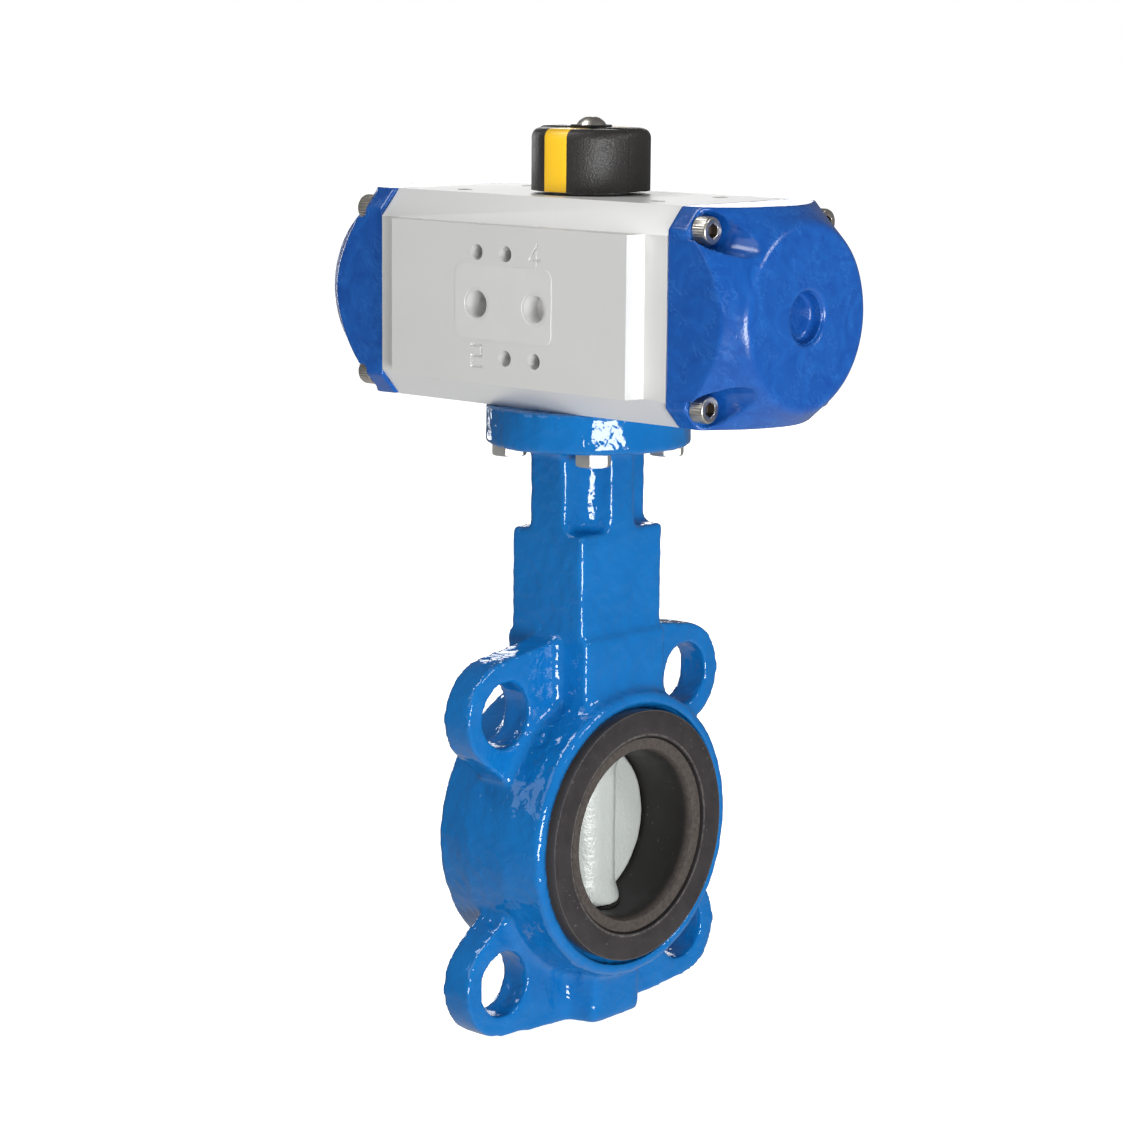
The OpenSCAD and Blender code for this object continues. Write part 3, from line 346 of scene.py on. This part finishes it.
# %% The disc coating
disc_coat = Finish("grey_disc_coating")
disc_peel = disc_coat.noise(1.5, detail=2.0)
disc_shade = disc_coat.noise(12, detail=3.0)
disc_grey = disc_coat.set(
    Base_Color=disc_coat.blend(disc_shade, (0.43, 0.46, 0.44), (0.50, 0.53, 0.51)),
    Roughness=0.26 + disc_peel * 0.12, IOR=1.5, Normal=disc_coat.bump(disc_peel, 0.22))
print("disc coating:", len(disc_coat.tree.nodes), "nodes")

# %% [markdown]
# Metals that are turned, drawn or plated
#
# Screws, pins and rings differ in colour and gloss, but all have fine marks, which run along one
# direction where the piece was turned or drawn. One function makes them all, from a colour, a
# roughness and the way the marks run. The bolts have a look of their own, and the inside of the
# screws' sockets is a dull dark brown that is painted shade. In the record both are of the same
# steel as the screws.

# %% The small metals


def worked_metal(name, colour, roughness, stretch=(1, 1, 1), mark_mm=0.3, metallic=1.0, slot=None):
    """Marks are long in each direction whose stretch is under 1."""
    finish = Finish(name, slot)
    marks = finish.noise(mark_mm, detail=3.0, stretch=stretch)
    stain = finish.noise(5, detail=3.0)
    darker = tuple(c * 0.78 for c in colour)
    return finish.set(
        Base_Color=finish.blend(stain.over(0.5, 0.7), darker, colour),
        Metallic=metallic, Roughness=roughness + marks * 0.12, Normal=finish.bump(marks, 0.005))


ALONG_Z = (1, 1, 0.1)
ROUND_Z = (0.06, 0.06, 1)
stainless = worked_metal("stainless_screw", (0.62, 0.59, 0.54), 0.28)
bolt_steel = worked_metal("bolt_steel", (0.60, 0.59, 0.56), 0.32, metallic=0.6,
                          slot="stainless_screw")
# Painted shade: a dull dark brown for the inside of the screws' sockets.
socket_painted_shade = worked_metal("socket_painted_shade", (0.050, 0.036, 0.026), 0.55, metallic=0.3,
                            slot="stainless_screw")
stem_steel = worked_metal("stem_steel", (0.62, 0.62, 0.62), 0.22, ROUND_Z)
pinion_steel = worked_metal("pinion_steel", (0.52, 0.52, 0.53), 0.30, ALONG_Z)
zinc_steel = worked_metal("zinc_steel", (0.84, 0.84, 0.83), 0.40, metallic=0.5)
spring_steel = worked_metal("spring_steel", (0.22, 0.22, 0.23), 0.38)
bush_bronze = worked_metal("bush_bronze", (0.56, 0.36, 0.17), 0.36, ALONG_Z)
piston_alloy = worked_metal("piston_alloy", (0.60, 0.61, 0.62), 0.40, mark_mm=0.8)
print("nine metals")

# %% [markdown]
# Moulded plastics
#
# The position indicator is black plastic with the fine leather-like grain of an eroded mould, and
# the yellow stripes let into it are smoother. The bearings inside are smooth too, and pale.

# %% The plastics


def moulded(name, colour, roughness, grain_mm, depth_mm):
    finish = Finish(name)
    texture = finish.noise(grain_mm, detail=2.0)
    tone = finish.noise(8, detail=2.0)
    paler = tuple(c * 1.25 + 0.004 for c in colour)
    return finish.set(
        Base_Color=finish.blend(tone, colour, paler), IOR=1.5,
        Roughness=roughness + texture * 0.14, Normal=finish.bump(texture, depth_mm))


indicator_black = moulded("indicator_plastic", (0.018, 0.016, 0.015), 0.36, 0.62, 0.20)
indicator_yellow = moulded("yellow_plastic", (0.94, 0.56, 0.018), 0.30, 0.9, 0.02)
bearing_plastic = moulded("bearing_plastic", (0.70, 0.66, 0.56), 0.42, 1.2, 0.01)
band_plastic = moulded("band_plastic", (0.05, 0.05, 0.055), 0.45, 0.6, 0.01)
print("four plastics")

# %% [markdown]
# Silver film
#
# The label is a thin silver film, so it takes the light as the anodised pad under it does and only
# its edge shows.

# %% The label film
film = Finish("label_film")
film_haze = film.noise(6, detail=2.0)
label_film = film.set(
    Base_Color=film.blend(film_haze, (0.76, 0.76, 0.75), (0.80, 0.80, 0.79)), Metallic=0.25,
    Roughness=0.36 + film_haze * 0.08)
print("one film")

# %% [markdown]
# Working on a copy of a solid
#
# A CAD node keeps its own mesh, so every change is made on a copy that then stands for it. The
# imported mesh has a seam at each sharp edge, and the first step is to weld these. Its stored
# normals go too, since they would be wrong on a changed mesh. `place_on` says which body carries
# the piece, which node it replaces and whose finish it takes.

# %% Copies, modifiers and places
SEAM_MM = 0.001


def copy_of(node, name):
    piece = bpy.data.objects.new(name, frame["nodes"][node].data.copy())
    bpy.context.scene.collection.objects.link(piece)
    piece.data.materials.clear()
    welded = bmesh.new()
    welded.from_mesh(piece.data)
    bmesh.ops.remove_doubles(welded, verts=welded.verts, dist=SEAM_MM * MM)
    welded.to_mesh(piece.data)
    welded.free()
    if "custom_normal" in piece.data.attributes:
        piece.data.attributes.remove(piece.data.attributes["custom_normal"])
    return piece


def settle(piece):
    """Makes the result of the piece's modifiers its own mesh."""
    ready = piece.evaluated_get(bpy.context.evaluated_depsgraph_get())
    mesh = bpy.data.meshes.new_from_object(ready)
    piece.modifiers.clear()
    piece.data = mesh
    return piece


def place_on(piece, body, finish, *nodes, inner=None):
    """Puts a piece in the place of its nodes, on a body and in a finish.
    Faces whose material index is 1 take the inner finish, if there is one."""
    indices = [polygon.material_index for polygon in piece.data.polygons]
    piece.data.materials.clear()
    piece.data.materials.append(finish)
    if inner:
        piece.data.materials.append(inner)
        piece.data.polygons.foreach_set("material_index", indices)
    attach(piece, body)
    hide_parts(*nodes)
    print(piece.name, len(piece.data.polygons), "faces on", body)
    return piece


print(len(frame["nodes"]), "nodes to dress")

# %% [markdown]
# Casting softens every corner
#
# Iron flows into a sand mould, so inside corners come out as wide fillets and outside corners as
# small rounds. A bevel would need clean edge loops, which a fused solid doesn't have. The copy is
# rebuilt from voxels instead: it is swollen, rebuilt, and shrunk back by as much, which fills each
# inside corner with a fillet of that radius. Shrinking blunts the outside corners too, so the
# solid itself is laid over the result before the last rebuild, and a few passes of smoothing are
# all that rounds them. Sand also leaves the iron slightly lumpy, which `roughen` adds as noise.

# %% Swell, rebuild, shrink and smooth
EASE_FACTOR, MORE_ROUNDS = 0.5, 4


def rebuilt(piece, voxel_mm):
    step = piece.modifiers.new("voxels", "REMESH")
    step.mode = "VOXEL"
    step.voxel_size = voxel_mm * MM
    step.use_smooth_shade = True


def pushed(piece, distance_mm):
    step = piece.modifiers.new("push", "DISPLACE")
    step.mid_level = 0.0
    step.strength = distance_mm * MM


def filled(piece, voxel_mm, fillet_mm):
    """Fills the inside corners and keeps the outside ones."""
    sharp = piece.data.copy()
    rebuilt(piece, voxel_mm)
    pushed(piece, fillet_mm)
    rebuilt(piece, voxel_mm)
    pushed(piece, -fillet_mm)
    settle(piece)
    both = bmesh.new()
    both.from_mesh(piece.data)
    both.from_mesh(sharp)
    both.to_mesh(piece.data)
    both.free()


def soften(piece, voxel_mm, fillet_mm, passes, rounder=None):
    """Rounder picks the vertices, by their place in mm, that get four more rounds of passes."""
    filled(piece, voxel_mm, fillet_mm)
    rebuilt(piece, voxel_mm)
    ease = piece.modifiers.new("ease", "SMOOTH")
    ease.factor = EASE_FACTOR
    ease.iterations = passes
    settle(piece)
    if rounder:
        chosen = piece.vertex_groups.new(name="rounder")
        picked = [vertex.index for vertex in piece.data.vertices if rounder(vertex.co / MM)]
        chosen.add(picked, 1.0, "REPLACE")
        more = piece.modifiers.new("more", "SMOOTH")
        more.factor = EASE_FACTOR
        more.iterations = MORE_ROUNDS * passes
        more.vertex_group = "rounder"
        settle(piece)
    return piece


def roughen(piece, lumps, node):
    """Moves each vertex along its normal by noise, and keeps it inside the box of the solid.
    Lumps are pairs of a size and a depth, in mm."""
    corners = [Vector(corner) for corner in frame["nodes"][node].bound_box]
    low = [min(corner[i] for corner in corners) for i in range(3)]
    high = [max(corner[i] for corner in corners) for i in range(3)]
    mesh = piece.data
    for vertex, normal in zip(mesh.vertices, [v.normal.copy() for v in mesh.vertices]):
        for size_mm, depth_mm in lumps:
            vertex.co += normal * (noise.noise(vertex.co / (size_mm * MM)) * depth_mm * MM)
        vertex.co = [min(max(x, a), b) for x, a, b in zip(vertex.co, low, high)]
    return piece


print("fillets come from swelling and shrinking, lumps from noise")

# %% [markdown]
# The neck's hollows
#
# Between the four ribs of the neck the inside corners are much rounder than elsewhere, and each
# one shows a broad column of flecks. A bar with a hollow face is laid in each corner first, and
# the rebuild melts it into the iron. The bar reaches a little into the ribs so that no gap opens.

# %% Bars with a hollow face
RIB_X, RIB_Y, HOLLOW_RADIUS = 7.5, 5.9, 7.0
HOLLOW_LOW, HOLLOW_HIGH, ROOT = 97.0, 127.0, 1.0
HOLLOW_STEPS = 12


def lay_hollows(piece):
    bars = bmesh.new()
    bars.from_mesh(piece.data)
    outline = [(RIB_X - ROOT, RIB_Y - ROOT), (RIB_X + HOLLOW_RADIUS, RIB_Y - ROOT)]
    for step in range(HOLLOW_STEPS + 1):
        angle = math.radians(270 - step * 90 / HOLLOW_STEPS)
        outline.append((RIB_X + HOLLOW_RADIUS * (1 + math.cos(angle)),
                        RIB_Y + HOLLOW_RADIUS * (1 + math.sin(angle))))
    outline.append((RIB_X - ROOT, RIB_Y + HOLLOW_RADIUS))
    for side_x, side_y in ((1, 1), (1, -1), (-1, 1), (-1, -1)):
        low, high = ([bars.verts.new((side_x * x * MM, side_y * y * MM, z * MM)) for x, y in outline]
                     for z in (HOLLOW_LOW, HOLLOW_HIGH))
        made = [bars.faces.new(low), bars.faces.new(high)]
        for i, first in enumerate(low):
            after = (i + 1) % len(low)
            made.append(bars.faces.new((first, low[after], high[after], high[i])))
        bmesh.ops.recalc_face_normals(bars, faces=made)
    bars.to_mesh(piece.data)
    bars.free()
    return piece


valve_body = lay_hollows(copy_of("valve_body", "valve_body_cast"))
print("four bars from", HOLLOW_LOW, "to", HOLLOW_HIGH, "mm up the neck")

# %% [markdown]
# Iron round a turned recess
#
# The whole body goes through the rebuild. The edges of the foot are rounder than the others, so
# they get more smoothing. The recess that holds the liner is turned on a lathe, so its wall is made
# exactly round again after the lumps are added.

# %% The valve body
FOOT_TOP, FOOT_SIDE = -52.0, 20.0
RECESS_RADIUS, RECESS_FLOOR, RIM_BAND = 42.4, 18.4, 0.9


def true_rim(piece):
    """The wall of the recess is made exactly round."""
    for vertex in piece.data.vertices:
        radius = math.hypot(vertex.co.y, vertex.co.z)
        if abs(vertex.co.x) > RECESS_FLOOR * MM and radius < (RECESS_RADIUS + RIM_BAND) * MM:
            if radius > (RECESS_RADIUS - RIM_BAND) * MM:
                vertex.co.yz *= RECESS_RADIUS * MM / radius
    return piece


soften(valve_body, 0.9, fillet_mm=1.6, passes=6,
       rounder=lambda place: place.z < FOOT_TOP and abs(place.y) < FOOT_SIDE)
roughen(valve_body, [(9, 0.24), (3.2, 0.20)], "valve_body")
true_rim(valve_body)
place_on(valve_body, "housing", blue_enamel, "valve_body")

# %% [markdown]
# The disc and its hub
#
# The same rebuild suits the disc, at a finer size, because its hub runs into the plate with a
# broad hollow that catches the light softly. Only what lies off the plate gets more smoothing, so
# that the disc's rim stays true.

# %% The disc
HUB_SIDE = 2.6
disc = soften(copy_of("disc", "disc_coated"), 0.42, fillet_mm=2.2, passes=4,
              rounder=lambda place: abs(place.x) > HUB_SIDE)
place_on(roughen(disc, [(6, 0.12)], "disc"), "rotor", disc_grey, "disc")

# %% [markdown]
# Die-cast end caps
#
# Each cap is a cone that rolls into a flat end, cut by four flats and four screw pockets. A die
# gives crisper corners than sand, so the fillet is small and the voxels are fine. Only the dished
# centre has a broad rounded lip, and `round_dish` lowers the end face towards the dish for it.

# %% The two end caps
CAP_AXIS = Vector((0, 0, CAP_AXIS_HEIGHT * MM))
DISH_RADIUS, DISH_LIP, DISH_WALL = 7.8, 1.6, 0.6
MOST_DROP, END_FACE_BAND = 1.2, 0.9


def round_dish(cap):
    """Lowers the end face along a quarter circle that is as wide as the lip."""
    reach = max(abs(vertex.co.x) for vertex in cap.data.vertices)
    for vertex in cap.data.vertices:
        way = vertex.co - CAP_AXIS
        inside = DISH_RADIUS + DISH_LIP - math.hypot(way.y, way.z) / MM
        on_end = reach - abs(vertex.co.x) < END_FACE_BAND * MM
        if on_end and 0 < inside < DISH_LIP + DISH_WALL:
            drop = DISH_LIP - math.sqrt(max(0.0, DISH_LIP ** 2 - min(inside, DISH_LIP) ** 2))
            vertex.co.x -= math.copysign(min(drop, MOST_DROP) * MM, vertex.co.x)
    return cap


for side in ("right", "left"):
    cap = soften(copy_of(f"end_cap_{side}", f"end_cap_{side}_cast"), 0.55, fillet_mm=0.9, passes=6)
    roughen(round_dish(cap), [(14, 0.16)], f"end_cap_{side}")
    place_on(cap, "housing", blue_coating, f"end_cap_{side}")

# %% [markdown]
# Machined and moulded pieces keep their shape
#
# These solids are right as they are, and only need smooth shading on their round faces and a
# sharp line where two faces meet at an angle. Where an edge shows it is broken by a narrow bevel,
# which catches a line of light as a deburred or moulded edge does. A bevel needs whole faces, so
# the triangles of each flat face are joined first.

# %% Pieces with a clean edge
BEVEL_FROM = 28


def machined(node, body, finish, sharp_degrees=28, edge_mm=0.0, steps=2):
    """Edges are broken by edge_mm, and shaded sharp from sharp_degrees up."""
    piece = copy_of(node, node + "_finished")
    if edge_mm:
        flat = bmesh.new()
        flat.from_mesh(piece.data)
        bmesh.ops.dissolve_limit(flat, angle_limit=math.radians(1), verts=flat.verts, edges=flat.edges)
        flat.to_mesh(piece.data)
        flat.free()
        bevel = piece.modifiers.new("broken_edges", "BEVEL")
        bevel.width = edge_mm * MM
        bevel.segments = steps
        bevel.angle_limit = math.radians(BEVEL_FROM)
        settle(piece)
    piece.data.shade_smooth()
    piece.data.set_sharp_from_angle(angle=math.radians(sharp_degrees))
    return place_on(piece, body, finish, node)


machined("flange_bolts", "housing", bolt_steel)
machined("seat_liner", "housing", seat_rubber, sharp_degrees=12, edge_mm=0.45, steps=4)
machined("actuator_body", "housing", anodised, sharp_degrees=12, edge_mm=0.5)
machined("blank_label", "housing", label_film)
machined("pinion_washer", "housing", zinc_steel)
machined("indicator_body", "rotor", indicator_black, edge_mm=0.25)
machined("indicator_yellow_stripes", "rotor", indicator_yellow, edge_mm=0.25)
machined("indicator_black_stripes", "rotor", indicator_black, edge_mm=0.25)
machined("indicator_washer", "rotor", seal_rubber)
machined("indicator_screw", "rotor", stainless)

# %% [markdown]
# Socket screws with a knurled head
#
# The CAD screws are plain cylinders with a hexagon hole. A real one has a knurled side, a rounded
# rim and a socket with a chamfer at its mouth. Inside the socket the colour is a dull dark brown,
# which is painted shade. Each row below is a height over the head's seat and a radius, which may
# change with the angle.

# %% The rows of one screw
KNURLS, KNURL_DEPTH = 32, 0.16
ROUND_STEPS = 4 * KNURLS
HEAD_RADIUS, HEAD_HEIGHT = 4.25, 5.0
SHANK_RADIUS, THREAD_RADIUS = 2.5, 2.1
SEAT_TO_BODY, THREAD_LENGTH = 7.8, 12.0
SOCKET_FLATS, SOCKET_MOUTH, SOCKET_CHAMFER = 4.0, 2.45, 0.15
SOCKET_DEPTH, SOCKET_TIP = 2.5, 3.2
MIDDLE_RADIUS = 0.01


def knurled(radius):
    return lambda angle: radius - KNURL_DEPTH * (0.5 - 0.5 * math.cos(KNURLS * angle))


def hexagon(flats):
    return lambda angle: flats / 2 / math.cos((angle + math.pi / 6) % (math.pi / 3) - math.pi / 6)


def circle(radius):
    return lambda angle: radius


THREAD_END = -SEAT_TO_BODY - THREAD_LENGTH
SHANK_ROWS = [
    (THREAD_END, circle(MIDDLE_RADIUS)),
    (THREAD_END, circle(THREAD_RADIUS)),
    (-SEAT_TO_BODY, circle(THREAD_RADIUS)),
    (-SEAT_TO_BODY, circle(SHANK_RADIUS)),
    (0, circle(SHANK_RADIUS)),
]
HEAD_ROWS = [
    (0, circle(HEAD_RADIUS - 0.3)),
    (0.3, knurled(HEAD_RADIUS)),
    (HEAD_HEIGHT - 0.8, knurled(HEAD_RADIUS)),
    (HEAD_HEIGHT - 0.45, circle(HEAD_RADIUS - 0.18)),
    (HEAD_HEIGHT - 0.15, circle(HEAD_RADIUS - 0.32)),
    (HEAD_HEIGHT, circle(HEAD_RADIUS - 0.55)),
    (HEAD_HEIGHT, circle(SOCKET_MOUTH)),
]
SOCKET_ROWS = [
    (HEAD_HEIGHT - SOCKET_CHAMFER, hexagon(SOCKET_FLATS)),
    (HEAD_HEIGHT - SOCKET_DEPTH, hexagon(SOCKET_FLATS)),
    (HEAD_HEIGHT - SOCKET_TIP, circle(MIDDLE_RADIUS)),
]
SCREW_ROWS = SHANK_ROWS + HEAD_ROWS + SOCKET_ROWS
FIRST_SOCKET_BAND = len(SCREW_ROWS) - len(SOCKET_ROWS)
print("one screw has", len(SCREW_ROWS), "rows of", ROUND_STEPS, "points")

# %% [markdown]
# Neighbouring rows are joined by bands of four-sided faces, and those inside the socket take the
# dark finish that paints the socket's shade. The solids say where each screw sits, so the boxes
# round them are measured and no place is written down twice.

# %% The cap screws
SCREW_SHARP = 24


def add_screw(mesh, seat, way):
    """Joins one screw to the mesh: seat is the middle of the head's underside, way is +1 or -1."""
    rows = []
    for height, radius in SCREW_ROWS:
        ring = []
        for step in range(ROUND_STEPS):
            angle = step * 2 * math.pi / ROUND_STEPS
            r = radius(angle) * MM
            ring.append(mesh.verts.new(seat + Vector(
                (way * height * MM, way * r * math.cos(angle), r * math.sin(angle)))))
        rows.append(ring)
    for number, (low_row, high_row) in enumerate(zip(rows, rows[1:])):
        for i in range(ROUND_STEPS):
            j = (i + 1) % ROUND_STEPS
            face = mesh.faces.new((low_row[i], low_row[j], high_row[j], high_row[i]))
            # Faces inside the socket take the dark brown of painted shade.
            face.material_index = 1 if number >= FIRST_SOCKET_BAND else 0
    mesh.faces.new(rows[0][::-1])
    mesh.faces.new(rows[-1])


def seats_of(node):
    """The middle of each head's underside, from the box of each screw of the node."""
    points = [vertex.co for vertex in frame["nodes"][node].data.vertices]
    way = 1 if points[0].x > 0 else -1
    tip = max(way * point.x for point in points) - HEAD_HEIGHT * MM
    for side_y in (-1, 1):
        for side_z in (-1, 1):
            one = [p for p in points if p.y * side_y > 0 and (p.z - CAP_AXIS.z) * side_z > 0]
            yield Vector((way * tip, (min(p.y for p in one) + max(p.y for p in one)) / 2,
                          (min(p.z for p in one) + max(p.z for p in one)) / 2)), way


for side in ("right", "left"):
    screws = bmesh.new()
    for seat, way in seats_of(f"end_cap_screws_{side}"):
        add_screw(screws, seat, way)
    bmesh.ops.recalc_face_normals(screws, faces=screws.faces)
    screw_mesh = bpy.data.meshes.new(f"cap_screws_{side}_knurled")
    screws.to_mesh(screw_mesh)
    screws.free()
    screw_mesh.shade_smooth()
    screw_mesh.set_sharp_from_angle(angle=math.radians(SCREW_SHARP))
    screw_set = bpy.data.objects.new(screw_mesh.name, screw_mesh)
    bpy.context.scene.collection.objects.link(screw_set)
    place_on(screw_set, "housing", stainless, f"end_cap_screws_{side}", inner=socket_painted_shade)

# %% [markdown]
# Finishes for the solids inside
#
# The pieces that the photograph can't show keep their CAD mesh and still get a real finish, so
# that the part can be opened or cut.

# %% Inside finishes
INSIDE = {
    "valve_stem": stem_steel, "upper_stem_bush": bush_bronze, "middle_stem_bush": bush_bronze,
    "lower_stem_bush": bush_bronze, "stem_o_rings": seal_rubber, "stem_circlip": spring_steel,
    "stem_cover_washer": zinc_steel, "stem_retaining_ring": spring_steel,
    "centring_ring": anodised, "cap_gasket_right": seal_rubber, "cap_gasket_left": seal_rubber,
    "pinion": pinion_steel, "pinion_lower_bearing": bearing_plastic,
    "pinion_upper_bearing": bearing_plastic, "pinion_lower_o_ring": seal_rubber,
    "pinion_upper_o_ring": seal_rubber, "pinion_circlip": spring_steel,
}
for end in ("right", "left"):
    INSIDE[f"piston_{end}"] = piston_alloy
    INSIDE[f"piston_o_ring_{end}"] = seal_rubber
    INSIDE[f"piston_guide_band_{end}"] = band_plastic
    INSIDE[f"rack_guide_{end}"] = bearing_plastic
for name, finish in INSIDE.items():
    mesh = frame["nodes"][name].data
    mesh.materials.clear()
    mesh.materials.append(finish)
print(len(INSIDE), "inside pieces finished")

# %% [markdown]
# A floor that glows
#
# The photograph is a studio shot on white. The paper floor glows so that it prints white.
# Reflections leave it out, because a glossy blue would turn milky over it. It casts no shadow
# either, as the valve stood on a table and the key lamp reached below the table's top.

# %% The floor
FLOOR_SIZE = 12.0
floor_mesh = bpy.data.meshes.new("studio_floor")
grid = bmesh.new()
bmesh.ops.create_grid(grid, x_segments=8, y_segments=8, size=FLOOR_SIZE / 2)
grid.to_mesh(floor_mesh)
grid.free()
floor = bpy.data.objects.new("studio_floor", floor_mesh)
floor.location.z = cad_low[2]
bpy.context.scene.collection.objects.link(floor)
paper = Finish("studio_paper")
paper_tone = paper.blend(paper.noise(400, detail=1.0), (0.86, 0.86, 0.86), (0.88, 0.88, 0.88))
floor.data.materials.append(paper.set(
    Base_Color=paper_tone, Roughness=0.9, Emission_Color=(1.0, 1.0, 1.0), Emission_Strength=0.95))
floor.visible_glossy = False
floor.visible_diffuse = False
floor.visible_shadow = False
print("floor at", round(cad_low[2] / MM, 1), "mm")

# %% [markdown]
# A few softboxes in a dim room
#
# The key stands to the right of the camera and reaches below the floor: it lights the faces along
# the pipe, the disc in the bore and every edge between the two visible sides. A smaller one further
# right adds to it. A large weak one in front of the pad fills the pad's side, one overhead lights
# the top, and a narrow one on the left and one behind draw the outlines.

# %% The lamps
MIDDLE = Vector((0, 0, 0.09))


def direction(azimuth, elevation):
    """Azimuth 0 is straight out from the pad and 90 is along the pipe, both in degrees."""
    turned, lifted = math.radians(azimuth), math.radians(elevation)
    return Vector((math.sin(turned) * math.cos(lifted), -math.cos(turned) * math.cos(lifted),
                   math.sin(lifted)))


def lamp(name, azimuth, elevation, distance, width, height, watts):
    """A lamp that faces the middle of the valve. Its place and its size are in metres."""
    way = direction(azimuth, elevation)
    light = bpy.data.lights.new(name, "AREA")
    light.shape = "RECTANGLE"
    light.size = width
    light.size_y = height
    light.energy = watts
    holder = bpy.data.objects.new(name, light)
    holder.location = MIDDLE + way * distance
    holder.rotation_euler = way.to_track_quat("Z", "Y").to_euler()
    holder.visible_camera = False
    bpy.context.scene.collection.objects.link(holder)


lamp("key_lamp", 61, -7, 1.3, 0.60, 0.42, 17)
lamp("right_lamp", 108, 32, 1.5, 0.40, 0.40, 5)
lamp("left_lamp", -15, 30, 1.5, 0.80, 0.90, 3.2)
lamp("left_strip", -106, 4, 1.5, 0.16, 0.80, 3)
lamp("top_lamp", -42, 60, 1.4, 0.50, 0.50, 6.6)
lamp("back_lamp", -138, 16, 1.6, 0.45, 0.45, 2.2)
print("six lamps, aimed", round(MIDDLE.z / MM), "mm above the pipe's axis")

# %% [markdown]
# A grey sky that the camera sees as white
#
# The sky lights the valve dimly from all sides and more from straight below, in place of the
# floor that reflections leave out. Rays that come straight from the camera see it white.

# %% The sky
world = bpy.data.worlds.new("studio_sky")
bpy.context.scene.world = world
world.use_nodes = True
sky = world.node_tree.nodes["Background"]
sky.inputs["Color"].default_value = (1.0, 1.0, 1.0, 1.0)
SKY_LEVEL, FLOOR_LEVEL = 0.16, 0.60
BRIGHTER_FROM, BRIGHTEST_FROM = -0.15, -0.80
way_in = world.node_tree.nodes.new("ShaderNodeTexCoord")
heights = world.node_tree.nodes.new("ShaderNodeSeparateXYZ")
room = world.node_tree.nodes.new("ShaderNodeMapRange")
room.inputs["From Min"].default_value = BRIGHTER_FROM
room.inputs["From Max"].default_value = BRIGHTEST_FROM
room.inputs["To Min"].default_value = SKY_LEVEL
room.inputs["To Max"].default_value = FLOOR_LEVEL
seen = world.node_tree.nodes.new("ShaderNodeLightPath")
level = world.node_tree.nodes.new("ShaderNodeMapRange")
level.inputs["To Max"].default_value = 1.0
for start, end in ((way_in.outputs["Generated"], heights.inputs["Vector"]),
                   (heights.outputs["Z"], room.inputs["Value"]),
                   (room.outputs["Result"], level.inputs["To Min"]),
                   (seen.outputs["Is Camera Ray"], level.inputs["Value"]),
                   (level.outputs["Result"], sky.inputs["Strength"])):
    world.node_tree.links.new(start, end)
bpy.context.scene.view_settings.view_transform = "Standard"
print("sky", SKY_LEVEL, "above and", FLOOR_LEVEL, "below")

# %% [markdown]
# The camera
#
# The camera was found from the photograph: the actuator's standard hole pattern gives the scale,
# and the edges of the body give the direction. It stands a metre away, turned 42 degrees from
# the pad and 10 degrees up, with a long lens.

# %% The photograph's camera
CAMERA_AZIMUTH = 41.82
CAMERA_ELEVATION = 10.03
CAMERA_ROLL = 0.476
CAMERA_PAN = Vector((7.66, -84.78, -1018.9))
LENS = 100.82

back = direction(CAMERA_AZIMUTH, CAMERA_ELEVATION)
right = direction(CAMERA_AZIMUTH + 90, 0)
turn = Matrix.Rotation(-math.radians(CAMERA_ROLL), 3, "Z") @ Matrix((right, back.cross(right), back))
to_world = turn.transposed()
lens = bpy.data.cameras.new("photo_camera")
lens.lens = LENS
lens.sensor_width = 36
lens.clip_start = 0.05
camera = bpy.data.objects.new("photo_camera", lens)
camera.matrix_world = Matrix.Translation(to_world @ -CAMERA_PAN * MM) @ to_world.to_4x4()
bpy.context.scene.collection.objects.link(camera)
bpy.context.scene.camera = camera
print("camera at", [round(x / MM, 1) for x in camera.matrix_world.translation], "mm")
